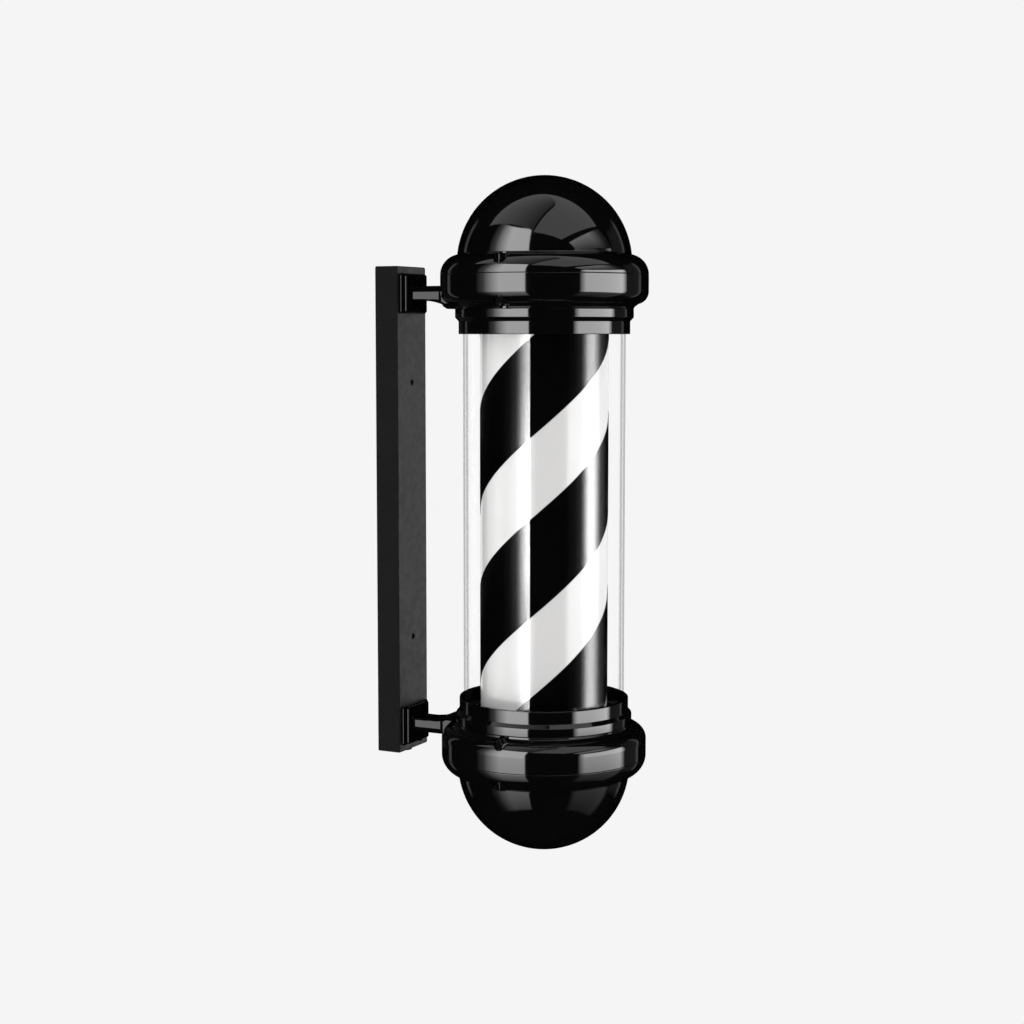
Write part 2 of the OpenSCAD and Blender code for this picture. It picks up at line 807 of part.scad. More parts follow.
module post_collar() color("#8a8a8a") at_pole() lower_end() difference() {
    ring(post_collar_r, post_r + fit_gap / 4, z_thrust + thrust_t, z_thrust + thrust_t + post_collar_h);
    translate([0, 0, z_thrust + thrust_t + post_collar_h / 2]) rotate([0, 90, 0])
        cylinder(h = post_collar_r + over, r = post_collar_screw_d / 2 + thread_gap, $fn = 32);
}

module post_collar_screw() color("#3a3a3a") at_pole() lower_end()
    translate([post_r + 0.1, 0, z_thrust + thrust_t + post_collar_h / 2]) rotate([0, 90, 0])
        set_screw(post_collar_screw_d, post_collar_wall - end_gap);

module thrust_washer() color("#c9a84a") at_pole() lower_end()
    ring(bush_flange_r, post_r + fit_gap / 2, z_thrust, z_thrust + thrust_t);

// Lamp strips on the flats of the post

module led_strips() color("#f2f0e6") at_pole() for (turn = [0 : 90 : 270]) {
    lamp_n = floor((strip_h / 2 - lamp_pitch / 2) / lamp_pitch);
    rotate(turn) translate([0, post_r - flat_t, 0]) {
        translate([-strip_w / 2, 0, -strip_h / 2]) cube([strip_w, strip_t, strip_h]);
        for (i = [-lamp_n : lamp_n]) {
            translate([-lamp[0] / 2, 0, i * lamp_pitch - lamp[2] / 2])
                cube([lamp[0], strip_t + lamp[1], lamp[2]]);
        }
    }
}

// Drum

module drum_shell() color("#f4f4f2") at_pole() difference() {
    ring(drum_r, drum_r - drum_t, -drum_half, drum_half);
    both_ends() around(disc_screw_n, 0, 0) disc_screw_hole(disc_screw_d / 2 + hole_gap);
}

module disc_screw_hole(r) {
    translate([disc_r - rim_t - over, 0, drum_half - rim_h / 2]) rotate([0, 90, 0])
        cylinder(h = drum_r, r = r, $fn = 32);
}

module stripe_outline() {
    polygon([
        for (i = [0 : stripe_steps]) let (a = (i - stripe_steps / 2) * stripe_step)
            [(film_r + film_t) * cos(a), (film_r + film_t) * sin(a)],
        for (i = [stripe_steps : -1 : 0]) let (a = (i - stripe_steps / 2) * stripe_step)
            [film_r * cos(a), film_r * sin(a)]]);
}

module drum_stripes() color("#0c0c0c") at_pole() for (start = [0, 180]) {
    rotate(stripe_angle + start - stripe_twist / 2) translate([0, 0, -film_half])
        linear_extrude(2 * film_half, twist = -stripe_twist, slices = round(stripe_twist / stripe_step),
            $fn = 0)
            stripe_outline();
}

module drum_disc() color("#d8d8d4") difference() {
    union() {
        translate([0, 0, drum_half - disc_t]) cylinder(h = disc_t, r = disc_r);
        ring(disc_r, disc_r - rim_t, drum_half - rim_h, drum_half);
        translate([0, 0, drum_half - hub_h]) cylinder(h = hub_h, r = hub_r);
    }
    translate([0, 0, drum_half - hub_h - over]) cylinder(h = hub_h + 2 * over, r = bush_r + thread_gap);
    around(disc_screw_n, 0, 0) disc_screw_hole(disc_screw_d / 2 + thread_gap);
    around(gear_screw_n, gear_screw_r, 0)
        translate([0, 0, drum_half - disc_t - over])
            cylinder(h = disc_t + 2 * over, r = gear_screw_d / 2 + thread_gap, $fn = 32);
}

module upper_drum_disc() at_pole() drum_disc();

module lower_drum_disc() at_pole() lower_end() drum_disc();

module drum_bush() color("#efe9d8") {
    ring(bush_r, post_r + run_gap, drum_half - hub_h, drum_half + bush_flange);
    ring(bush_flange_r, post_r + run_gap, drum_half, drum_half + bush_flange);
}

module upper_drum_bush() at_pole() drum_bush();

module lower_drum_bush() at_pole() lower_end() drum_bush();

module disc_screws() color("#8a8a8a") at_pole() both_ends() around(disc_screw_n, drum_r, 0) {
    translate([0, 0, drum_half - rim_h / 2]) rotate([0, 90, 0])
        pan_screw(disc_screw_d, drum_t + rim_t - end_gap);
}

// Gears: true involute flanks, with a straight foot below the base circle

function involute(r, base) = r <= base ? 0 : tan(acos(base / r)) * 180 / PI - acos(base / r);

function tooth(teeth, centre) =
    let (pitch = gear_m * teeth / 2, base = pitch * cos(pressure))
    let (tip = pitch + tooth_top * gear_m, root = pitch - tooth_root * gear_m, low = max(base, root))
    let (half = 90 / teeth - backlash / pitch * 90 / PI + involute(pitch, base))
    let (side = [for (s = [0 : 3]) let (r = low + (tip - low) * s / 3) [r, half - involute(r, base)]])
    let (flank = root < low ? concat([[root, half]], side) : side)
    concat(
        [for (p = flank) p[0] * [cos(centre - p[1]), sin(centre - p[1])]],
        [for (i = [len(flank) - 1 : -1 : 0]) let (p = flank[i])
            p[0] * [cos(centre + p[1]), sin(centre + p[1])]]);

module spur(teeth, t) {
    linear_extrude(t) polygon([for (i = [0 : teeth - 1], p = tooth(teeth, i * 360 / teeth)) p]);
}

module drum_gear() color("#e6e2d2") at_pole() translate([0, 0, -drum_half - gear_t]) difference() {
    rotate(-90) spur(gear_teeth, gear_t);
    translate([0, 0, -over]) cylinder(h = gear_t + 2 * over, r = gear_bore_r);
    around(gear_screw_n, gear_screw_r, 0)
        translate([0, 0, -over]) cylinder(h = gear_t + 2 * over, r = gear_screw_d / 2 + hole_gap, $fn = 32);
}

module gear_screws() color("#8a8a8a") at_pole() lower_end() around(gear_screw_n, gear_screw_r, 0)
    translate([0, 0, drum_half + gear_t]) pan_screw(gear_screw_d, gear_t + disc_t - end_gap);

// Motor, hung under the lower end plate with its shaft up through it

module motor() color("#b4b6b8") at_pole() lower_end() translate([0, drive_y, z_motor]) difference() {
    union() {
        cylinder(h = motor_h, r = motor_d / 2);
        translate([-motor_ear, -motor_ear_r, 0]) cube([2 * motor_ear, 2 * motor_ear_r, motor_ear_t]);
        for (side = [-1, 1]) {
            translate([side * motor_ear, 0, 0]) cylinder(h = motor_ear_t, r = motor_ear_r, $fn = 48);
        }
        translate([0, 0, -motor_boss_h]) cylinder(h = motor_boss_h + over, r = motor_boss_r);
    }
    translate([0, 0, -plate_t]) cylinder(h = plate_t + motor_bore_h, r = shaft_d / 2 + run_gap);
    for (side = [-1, 1]) {
        translate([side * motor_ear, 0, -over])
            cylinder(h = motor_ear_t + 2 * over, r = motor_screw_d / 2 + hole_gap, $fn = 32);
    }
}

module motor_screws() color("#8a8a8a") at_pole() lower_end() for (side = [-1, 1]) {
    translate([side * motor_ear, drive_y, z_motor + motor_ear_t])
        pan_screw(motor_screw_d, motor_ear_t + plate_t - end_gap);
}

module motor_shaft() color("#c4c6c8") at_pole() lower_end() translate([0, drive_y, z_pinion])
    cylinder(h = z_motor + motor_bore_h - move_gap - z_pinion, r = shaft_d / 2);

module motor_pinion() color("#c9a84a") at_pole() difference() {
    translate([0, drive_y, -z_pinion - pinion_t]) {
        rotate(90 + 180 / pinion_teeth) spur(pinion_teeth, pinion_t);
        translate([0, 0, -pinion_hub_h]) cylinder(h = pinion_hub_h, r = pinion_hub_r);
    }
    translate([0, drive_y, -z_motor]) cylinder(h = z_motor, r = shaft_d / 2 + thread_gap);
    translate([0, drive_y, -z_pinion - pinion_t - pinion_hub_h / 2]) rotate([0, 90, 0])
        cylinder(h = pinion_hub_r + over, r = pinion_screw_d / 2 + thread_gap, $fn = 32);
}

module pinion_screw() color("#3a3a3a") at_pole()
    translate([shaft_d / 2 + 0.1, drive_y, -z_pinion - pinion_t - pinion_hub_h / 2]) rotate([0, 90, 0])
        set_screw(pinion_screw_d, pinion_hub_wall - end_gap);

// Lamp driver and terminal block under the lower end plate

module led_driver() color("#dcdcd8") at_pole() lower_end() translate([driver_at[0], driver_at[1], z_motor])
    difference() {
        union() {
            translate([-driver[0] / 2, -driver[1] / 2, 0]) cube(driver);
            translate([-driver[0] / 2 - driver_foot_l, -driver[1] / 2, 0])
                cube([driver[0] + 2 * driver_foot_l, driver[1], driver_foot_t]);
        }
        for (side = [-1, 1]) {
            translate([side * driver_span / 2, 0, -over])
                cylinder(h = driver_foot_t + 2 * over, r = driver_screw_d / 2 + hole_gap, $fn = 32);
        }
    }

module driver_screws() color("#8a8a8a") at_pole() lower_end() for (side = [-1, 1]) {
    translate([driver_at[0] + side * driver_span / 2, driver_at[1], z_motor + driver_foot_t])
        pan_screw(driver_screw_d, driver_foot_t + plate_t - end_gap);
}

module terminal_block() color("#e8e6e0") at_pole() lower_end()
    translate([terminal_at[0], terminal_at[1], z_motor]) difference() {
        translate([-terminal[0] / 2, -terminal[1] / 2, 0]) cube(terminal);
        translate([0, 0, -over])
            cylinder(h = terminal[2] + 2 * over, r = terminal_screw_d / 2 + hole_gap, $fn = 32);
        for (i = [-1, 1]) {
            translate([i * terminal[0] / 3, 0, terminal[2] - terminal_well])
                cylinder(h = terminal_well + over, r = terminal_well_r, $fn = 32);
        }
    }

module terminal_screw() color("#8a8a8a") at_pole() lower_end()
    translate([terminal_at[0], terminal_at[1], z_motor + terminal[2]])
        pan_screw(terminal_screw_d, terminal[2] + plate_t - end_gap);

// Leads: a round wire swept along a route whose corners are cut twice, in the coordinates of the
// upper end and then mirrored down

function cut_corners(p) = concat([p[0]],
    [for (i = [0 : len(p) - 2]) each [0.75 * p[i] + 0.25 * p[i + 1], 0.25 * p[i] + 0.75 * p[i + 1]]],
    [p[len(p) - 1]]);

function unit(v) = v / norm(v);

module lead_run(route) {
    p = cut_corners(cut_corners(route));
    n = len(p);
    rings = [for (i = [0 : n - 1])
        let (t = unit(p[min(i + 1, n - 1)] - p[max(i - 1, 0)]))
        let (u = unit(cross(t, lead_side)), v = cross(t, u))
        for (k = [0 : lead_sides - 1]) let (a = k * 360 / lead_sides)
            p[i] + lead_r * (cos(a) * u + sin(a) * v)];
    skin = [for (i = [0 : n - 2], k = [0 : lead_sides - 1])
        let (a = i * lead_sides + k, b = i * lead_sides + (k + 1) % lead_sides)
        each [[a, b, b + lead_sides], [a, b + lead_sides, a + lead_sides]]];
    polyhedron(rings, concat(skin, [[for (k = [lead_sides - 1 : -1 : 0]) k]],
        [[for (k = [0 : lead_sides - 1]) (n - 1) * lead_sides + k]]));
}

module motor_lead() color("#c23b2e") at_pole() lower_end() lead_run([
    [-motor_side * 0.8, drive_y + motor_side * 0.6, lead_z],
    [-motor_lead_out, drive_y + motor_lead_up, lead_z],
    [terminal_at[0], terminal_back - lead_drop, lead_z], [terminal_at[0], terminal_back, lead_z]]);

module driver_lead() color("#c23b2e") at_pole() lower_end() lead_run([
    [driver_left, driver_at[1] + driver[1] / 4, lead_z],
    [driver_left - lead_reach, driver_at[1] + driver[1] / 4, lead_z],
    [terminal_at[0], terminal_front + lead_drop, lead_z], [terminal_at[0], terminal_front, lead_z]]);

module led_lead() color("#2e5fc2") at_pole() lower_end() lead_run([
    [driver_left, driver_at[1] - driver[1] / 4, lead_z],
    [driver_left - lead_reach / 2, driver_at[1] - driver[1] / 4, lead_z],
    [-lead_reach / 4, lead_drop, post_end + lead_drop / 2], [0, 0, post_end + lead_drop / 3],
    [0, 0, lead_hole_z + lead_drop / 2], [0, 0, lead_hole_z],
    [0, -post_bore / 2, lead_hole_z], [0, lead_y, lead_hole_z],
    [0, lead_y, lead_hole_z - lead_drop / 3], [0, lead_y, lead_hole_z - lead_end]]);

mounting_channel();
wall_spacers();
cable_grommet();
upper_bracket();
lower_bracket();
bracket_screws();
bracket_nuts();
arm_bolts();
upper_collar();
lower_collar();
upper_neck_ring();
lower_neck_ring();
neck_ring_screws();
outer_tube();
tube_gaskets();
upper_end_plate();
lower_end_plate();
plate_screws();
upper_dome();
lower_dome();
dome_seals();
cap_bolts();
cap_washers();
cap_nuts();
centre_post();
post_washers();
post_nuts();
post_collar();
post_collar_screw();
thrust_washer();
led_strips();
drum_shell();
drum_stripes();
lower_drum_disc();
upper_drum_disc();
lower_drum_bush();
upper_drum_bush();
disc_screws();
drum_gear();
gear_screws();
motor();
motor_screws();
motor_shaft();
motor_pinion();
pinion_screw();
led_driver();
driver_screws();
terminal_block();
terminal_screw();
motor_lead();
driver_lead();
led_lead();
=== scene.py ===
import math

import bmesh
import bpy
import numpy as np
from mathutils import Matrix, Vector


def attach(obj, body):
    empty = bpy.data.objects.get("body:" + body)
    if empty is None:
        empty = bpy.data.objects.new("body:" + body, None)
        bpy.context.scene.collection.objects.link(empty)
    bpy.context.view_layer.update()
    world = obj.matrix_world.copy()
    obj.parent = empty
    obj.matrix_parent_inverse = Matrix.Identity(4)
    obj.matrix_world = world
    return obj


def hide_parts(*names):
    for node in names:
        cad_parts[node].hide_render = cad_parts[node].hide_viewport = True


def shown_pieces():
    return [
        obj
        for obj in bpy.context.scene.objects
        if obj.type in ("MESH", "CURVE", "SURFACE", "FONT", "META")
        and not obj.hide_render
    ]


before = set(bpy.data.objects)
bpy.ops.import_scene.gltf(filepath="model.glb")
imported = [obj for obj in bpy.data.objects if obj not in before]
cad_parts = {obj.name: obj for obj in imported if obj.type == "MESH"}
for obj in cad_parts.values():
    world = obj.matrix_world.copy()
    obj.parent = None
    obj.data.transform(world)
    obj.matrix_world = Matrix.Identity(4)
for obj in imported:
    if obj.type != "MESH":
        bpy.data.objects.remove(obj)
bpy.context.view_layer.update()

# A wall mounted barber pole. All sizes below are millimetres, from the middle of the pole on its own
# axis, with +Z up and +Y towards the wall; they repeat the solids' sizes, and place() turns them into
# the frame's metres. Lower pieces are the upper ones with their heights turned over.
MM = 0.001
POLE_OFF = 183.0
# Steps of a full turn: the large turned pieces, the drum and its tube, bolts, notches and small pegs
ROUND, FINE_ROUND, BOLT_ROUND, NOTCH_ROUND, PEG_ROUND = 192, 360, 96, 64, 48

# Tube, neck rings and collars
TUBE_R, BORE_R, TUBE_END = 83.7, 80.7, 202.0
RIM, NECK_LOW, NECK_HIGH, GROOVE, SHELF = 188.5, 201.5, 205.5, 214.2, 204.0
NECK_BORE, NECK_R, LIP_R, SHELF_R = 84.1, 88.2, 91.8, 78.0
BULGE_R, CORNER_R, CORNER_Z, SEAM = 107.0, 13.0, 232.0, 248.7
CONE = (97.0, 219.35)
COLLAR_FLOOR, COLLAR_STEP, COLLAR_THICK = 223.0, 88.9, 230.0
REBATE_R, REBATE_Z, CAVITY_R = 103.6, 241.7, 103.0
LUG_R, LUG_CIRCLE, LUG_TOP = 6.5, 85.0, 236.0

# Domes and their through bolts
DOME_R, DOME_Z, DOME_WALL, DOME_FLOOR = 90.0, 260.0, 2.5, 255.7
SHOULDER_R, CREASE_R = 21.0, 1.2
SPIGOT_R, SPIGOT_IN, SPIGOT_Z = 103.4, 101.2, 243.1
BOLT_CIRCLE, BOLT_ANGLES, LUG_ANGLES = 98.0, (180, 0), (22.5, 112.5, 202.5, 292.5)
NOTCH_R, NOTCH_DOME, NOTCH_COLLAR = 8.0, 258.7, 226.5
CUT_ABOVE, DOME_HOLE_LOW, COLLAR_HOLE_TOP, CUT_BELOW = 300.0, 240.0, 252.0, 210.0
BOLT_R, BOLT_HOLE, BOLT_HEAD_R, BOLT_HEAD_H, BOLT_END = 4.0, 4.25, 6.5, 7.5, 215.9
SOCKET = 3.0
WASHER_R, WASHER_T, NUT_AF, NUT_H = 7.3, 1.6, 13.0, 6.5

# Drum and its film
DRUM_R, DRUM_WALL, DRUM_HALF = 66.0, 1.5, 210.0
FILM_IN, FILM_OUT, FILM_HALF = 66.06, 66.48, 198.0
STRIPE_LEAD, STRIPE_H, STRIPE_ANGLE = 364.0, 100.0, 240.0

# Channel, from the pole's axis: its face towards the pole, and the wall
FACE_Y, BOARD_W, BOARD_H, SHEET = 156.5, 62.0, 519.4, 2.0
HOLE_SPAN, HOLE_R, GROMMET_R = 274.0, 3.25, 7.0

# Brackets
ARM_Z, ARM_HALF, ARM_W, ROOT_W, PAD_ROOT = 231.2, 7.75, 15.0, 24.0, 3.0
FOOT_W, FOOT_H, FOOT_T, PAD_W, PAD_H, PAD_T = 53.0, 42.0, 3.0, 44.0, 40.0, 4.0
FLARE_R, FLARE_Y, SIDE_R, SIDE_Y = 62.0, 136.0, 9.0, 117.0
FOOT_SPAN, FOOT_SCREW_R, FOOT_HOLE, WIRE_R = 31.0, 2.5, 2.75, 4.5
# The arm's sweep starts inside the collar and is finer before its bend. Its edges are rounded above and
# below, and the lower ones gain EDGE_GAIN over EDGE_RUN towards the collar.
ARM_START, ARM_BEND, ARM_STEPS = 88, 120, 60
TOP_EDGE, LOW_EDGE, EDGE_GAIN, EDGE_START, EDGE_RUN = 6.5, 2.2, 5, 128, 20


def place(points):
    """Millimetres from the middle of the pole, as metres in the frame."""
    return (np.asarray(points, float) - [0, POLE_OFF, 0]) * MM


def arc(centre, radius, start, stop, steps):
    """Points on a circle: centre + radius * (cos a, sin a), with a from start to stop degrees. The
    third number of each point is its corner rounding, none."""
    a = np.radians(np.linspace(start, stop, steps + 1))
    return np.stack([centre[0] + radius * np.cos(a), centre[1] + radius * np.sin(a), 0 * a], -1)


def rounded(corners, steps=5):
    """Outline (..., corner, x y radius) with each corner rounded. With u and v the directions to the
    corners before and after and h half the angle between them, the arc's centre lies radius / sin h
    along u + v, and its ends radius / tan h along u and v; between them the direction from the centre
    turns evenly. A radius of 0 leaves the corner."""
    c = np.asarray(corners, float)
    p, radius = c[..., :2], c[..., 2:3]
    u = np.roll(p, 1, -2) - p
    v = np.roll(p, -1, -2) - p
    u /= np.maximum(np.linalg.norm(u, axis=-1, keepdims=True), 1e-12)
    v /= np.maximum(np.linalg.norm(v, axis=-1, keepdims=True), 1e-12)
    h = np.arccos(np.clip((u * v).sum(-1, keepdims=True), -1, 1)) / 2
    h = np.clip(h, 1e-4, math.pi / 2 - 1e-6)
    middle = u + v
    middle /= np.maximum(np.linalg.norm(middle, axis=-1, keepdims=True), 1e-12)
    centre = p + middle * radius / np.sin(h)
    first = p + u * radius / np.tan(h) - centre
    last = p + v * radius / np.tan(h) - centre
    turn = math.pi - 2 * h
    s = np.linspace(0, 1, steps)[:, None]
    ways = np.maximum(np.sin(turn), 1e-9)[..., None, :]
    w0 = np.sin((1 - s) * turn[..., None, :]) / ways
    w1 = np.sin(s * turn[..., None, :]) / ways
    arcs = centre[..., None, :] + w0 * first[..., None, :] + w1 * last[..., None, :]
    arcs = np.where(radius[..., None, :] > 0, arcs, p[..., None, :])
    return arcs.reshape(*c.shape[:-2], -1, 2)


def profile(*parts, steps=5, closed=True):
    """Corners and arcs strung into one outline, its corners rounded and repeated points left out."""
    c = np.vstack([np.atleast_2d(p) for p in parts])
    line = rounded(c, steps)
    keep = np.linalg.norm(line - np.roll(line, 1, 0), axis=1) > 1e-4
    keep[0] = keep[0] or not closed
    return line[keep]


def skin(rows, ring=False, ends=None, strip=False):
    """Faces over a grid whose points [row, j] close round in j. With ring the last row meets the
    first. Otherwise each end closes to a point, its own middle or the ones in ends, or with strip
    across from point j to point n - 1 - j, which closes the end of a thin band."""
    rows = np.asarray(rows, float)
    n, m = rows.shape[:2]
    index = np.arange(n * m).reshape(n, m)
    low = index if ring else index[:-1]
    high = np.roll(index, -1, 0) if ring else index[1:]
    quads = np.stack([low, np.roll(low, -1, 1), np.roll(high, -1, 1), high], -1).reshape(-1, 4)
    points = rows.reshape(-1, 3)
    tris = np.zeros((0, 3), int)
    if strip:
        j = np.arange(m // 2 - 1)
        first, last = index[0], index[-1]
        quads = np.vstack([
            quads,
            np.stack([first[j + 1], first[j], first[m - 1 - j], first[m - 2 - j]], -1),
            np.stack([last[j], last[j + 1], last[m - 2 - j], last[m - 1 - j]], -1)])
    elif not ring:
        caps = np.array(ends, float) if ends is not None else np.stack([rows[0].mean(0), rows[-1].mean(0)])
        points = np.vstack([points, caps])
        first, last = index[0], index[-1]
        tris = np.vstack([
            np.stack([np.roll(first, -1), first, np.full(m, n * m)], -1),
            np.stack([last, np.roll(last, -1), np.full(m, n * m + 1)], -1)])
    return outward(points, quads, tris)


def outward(points, quads, tris):
    """The faces turned over if the volume that they enclose, the sum of a . (b x c) / 6 over their
    triangles, is negative."""
    fans = np.vstack([quads[:, [0, 1, 2]], quads[:, [0, 2, 3]], tris])
    a, b, c = (points[fans[:, k]] for k in range(3))
    if (a * np.cross(b, c)).sum() < 0:
        quads, tris = quads[:, ::-1], tris[:, ::-1]
    return points, quads.tolist() + tris.tolist()


def turned(outline, ring=True, at=(0.0, 0.0), steps=ROUND, phase=0.4):
    """Surface of revolution: a point (r, z) of the outline goes to (r cos a, r sin a, z) for even
    angles a, round the axis at (x, y). Without ring, the outline's ends lie on the axis."""
    a = np.radians(np.arange(steps) * 360 / steps + phase)
    line = outline if ring else outline[1:-1]
    rows = np.stack([
        at[0] + line[:, :1] * np.cos(a),
        at[1] + line[:, :1] * np.sin(a),
        line[:, 1:] + 0 * a], -1)
    if ring:
        return skin(rows, ring=True)
    return skin(rows, ends=[[at[0], at[1], outline[0, 1]], [at[0], at[1], outline[-1, 1]]])


def spun(rows, steps=BOLT_ROUND):
    """A closed body whose radius may change with the angle: each row is (radius, height), the radius
    a number or an array over the angles. Its end rows close to their middles."""
    a = np.arange(steps) * 2 * math.pi / steps
    r = np.stack([row[0] + 0 * a for row in rows])
    z = np.array([row[1] for row in rows], float)[:, None]
    return skin(np.stack([r * np.cos(a), r * np.sin(a), z + 0 * a], -1))


def hexagon(flat, steps=BOLT_ROUND):
    """Radius of a hexagon with that distance from its middle to a flat: flat / cos of the angle from
    the nearest flat's middle."""
    a = np.arange(steps) * 360 / steps
    return flat / np.cos(np.radians((a + 30) % 60 - 30))


def cross(reach, half, steps=BOLT_ROUND):
    """Radius of a cross recess with arms of that reach and half width, the further of its two bars."""
    a = np.radians(np.arange(steps) * 360 / steps + 1e-6)
    c, s = np.abs(np.cos(a)) + 1e-9, np.abs(np.sin(a)) + 1e-9
    return np.maximum(np.minimum(reach / c, half / s), np.minimum(reach / s, half / c))


def stack(width, height, corner, rows, centre=0.0, steps=6):
    """A body of rounded rectangles across Y. Each row is (y, inset): the rectangle's sides move in by
    the inset, and its corner radius shrinks by as much."""
    rows = np.array(rows, float)
    inset = rows[:, 1:2]
    x, z = width / 2 - inset, height / 2 - inset
    r = np.maximum(corner - inset, 0.15)
    corners = np.stack([
        np.concatenate([x, -x, -x, x], 1),
        np.concatenate([z, z, -z, -z], 1),
        np.concatenate([r, r, r, r], 1)], -1)
    flat = rounded(corners, steps)
    y = rows[:, 0][:, None] + 0 * flat[..., 0]
    return skin(np.stack([flat[..., 0], y, flat[..., 1] + centre], -1))


def edge(y, inset, radius, side, steps=5):
    """Rows (y, inset) of a quarter round that ends a body of that inset at y. side is the direction
    along Y that the face looks."""
    a = np.linspace(0, math.pi / 2, steps)
    return [(y - side * radius * (1 - math.sin(t)), inset + radius * (1 - math.cos(t))) for t in a]


def moved(shape, turn=None, shift=(0, 0, 0)):
    """A shape turned by a 3 x 3 matrix and then shifted."""
    points, faces = shape
    points = points @ np.array(turn, float).T if turn is not None else points
    return points + np.array(shift, float), faces


def flipped(shape):
    """A shape turned over in height, its faces still outward."""
    points, faces = shape
    return points * [1, 1, -1], [f[::-1] for f in faces]


def joined(shapes):
    """Several shapes as one list of points and one of faces."""
    points, faces, count = [], [], 0
    for p, f in shapes:
        points.append(p)
        faces += [[i + count for i in face] for face in f]
        count += len(p)
    return np.vstack(points), faces


def around(shape, radius, angles):
    """Copies of a shape, each set out by radius and turned by its angle about the pole's axis."""
    made = []
    for angle in angles:
        c, s = math.cos(math.radians(angle)), math.sin(math.radians(angle))
        made.append(moved(moved(shape, shift=(radius, 0, 0)), [[c, -s, 0], [s, c, 0], [0, 0, 1]]))
    return made


def mesh_object(name, shape):
    """A Blender object of a shape, in the frame's metres."""
    mesh = bpy.data.meshes.new(name)
    mesh.from_pydata(place(shape[0]).tolist(), [], shape[1])
    mesh.update()
    made = bpy.data.objects.new(name, mesh)
    bpy.context.scene.collection.objects.link(made)
    return made


def carve(piece, shape, operation="DIFFERENCE"):
    """Cuts a shape out of a piece, or joins it on, and keeps the result as the piece's mesh."""
    tool = mesh_object("tool", shape)
    cut = piece.modifiers.new("cut", "BOOLEAN")
    cut.operation = operation
    cut.solver = "MANIFOLD"
    cut.object = tool
    done = bpy.data.meshes.new_from_object(piece.evaluated_get(bpy.context.evaluated_depsgraph_get()))
    piece.modifiers.clear()
    piece.data = done
    bpy.data.objects.remove(tool)


def finish_piece(piece, material, body, slot, *nodes, sharp=32):
    """Welds a piece, shades it smooth up to the sharp angle, gives it its finish and lets it ride."""
    work = bmesh.new()
    work.from_mesh(piece.data)
    bmesh.ops.remove_doubles(work, verts=work.verts, dist=2e-7)
    bmesh.ops.dissolve_degenerate(work, edges=work.edges, dist=1e-7)
    work.to_mesh(piece.data)
    work.free()
    piece.data.polygons.foreach_set("use_smooth", np.ones(len(piece.data.polygons), bool))
    piece.data.set_sharp_from_angle(angle=math.radians(sharp))
    normals = piece.modifiers.new("normals", "WEIGHTED_NORMAL")
    normals.keep_sharp = True
    piece.data.materials.clear()
    piece.data.materials.append(material)
    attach(piece, body)
    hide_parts(*nodes)
    return piece


# Finishes


def linear(text):
    """A colour written as sRGB hex, as linear red, green, blue and 1."""
    c = np.array([int(text[i:i + 2], 16) for i in (1, 3, 5)]) / 255
    c = np.where(c <= 0.04045, c / 12.92, ((c + 0.055) / 1.055) ** 2.4)
    return (*c.tolist(), 1.0)


def add(tree, kind, options=None, inputs=None):
    """Adds a node, sets its options, and fills each input with a value or a link."""
    made = tree.nodes.new("ShaderNode" + kind)
    for key, value in (options or {}).items():
        setattr(made, key, value)
    for key, value in (inputs or {}).items():
        if isinstance(value, bpy.types.NodeSocket):
            tree.links.new(value, made.inputs[key])
        else:
            made.inputs[key].default_value = value
    return made


def finish(name, tones, tone_mm, rough, rough_mm, bump, bump_mm, stretch=(1, 1, 1), **surface):
    """A finish in three noises on Object coordinates. The colour drifts between two tones over patches
    of tone_mm, the roughness between two values over rough_mm, and the surface rises by up to bump
    millimetres over grains of bump_mm. stretch draws the grain out along an axis. The rest are the
    shader's own sockets."""
    made = bpy.data.materials.new(name)
    made.use_nodes = True
    tree = made.node_tree
    tree.nodes.clear()
    where = add(tree, "TexCoord").outputs["Object"]
    drawn = add(tree, "Mapping", None, {"Vector": where, "Scale": stretch}).outputs["Vector"]
    drift = add(tree, "TexNoise", None, {"Vector": drawn, "Scale": 1 / (tone_mm * MM), "Detail": 3.0})
    colour = add(tree, "Mix", {"data_type": "RGBA"}, {
        0: drift.outputs[0], 6: linear(tones[0]), 7: linear(tones[1])})
    wear = add(tree, "TexNoise", None, {"Vector": drawn, "Scale": 1 / (rough_mm * MM), "Detail": 4.0})
    level = add(tree, "MapRange", None, {
        0: wear.outputs[0], 1: 0.3, 2: 0.7, 3: rough[0], 4: rough[1]})
    grain = add(tree, "TexNoise", None, {"Vector": drawn, "Scale": 1 / (bump_mm * MM), "Detail": 2.0})
    relief = add(tree, "Bump", None, {
        "Height": grain.outputs[0], "Distance": bump * MM, "Strength": 1.0})
    shader = add(tree, "BsdfPrincipled", None, {
        "Base Color": colour.outputs[2], "Roughness": level.outputs[0], "Normal": relief.outputs[0]})
    for key, value in surface.items():
        shader.inputs[key.replace("_", " ")].default_value = value
    add(tree, "OutputMaterial", None, {"Surface": shader.outputs[0]})
    return made, tree, shader, where, colour


# Sprayed and baked gloss enamel on spun and cast aluminium: a near black skin with a faint orange peel
gloss_enamel = finish(
    "gloss_black_enamel", ("#060606", "#0a0a0b"), 60, (0.035, 0.07), 22, 0.0012, 2.6, IOR=1.5)[0]
# Satin powder coat on folded steel: fine even grain that breaks up every reflection
satin_enamel = finish(
    "satin_powder_coat", ("#1b1b1c", "#212122"), 45, (0.42, 0.55), 8, 0.012, 0.7, IOR=1.5)[0]
# Black coated screws: thin coating over machined steel, its roughness drifting in small patches
black_steel = finish(
    "black_coated_steel", ("#060607", "#0c0c0d"), 3, (0.08, 0.16), 1.5, 0.002, 0.5, IOR=1.4)[0]
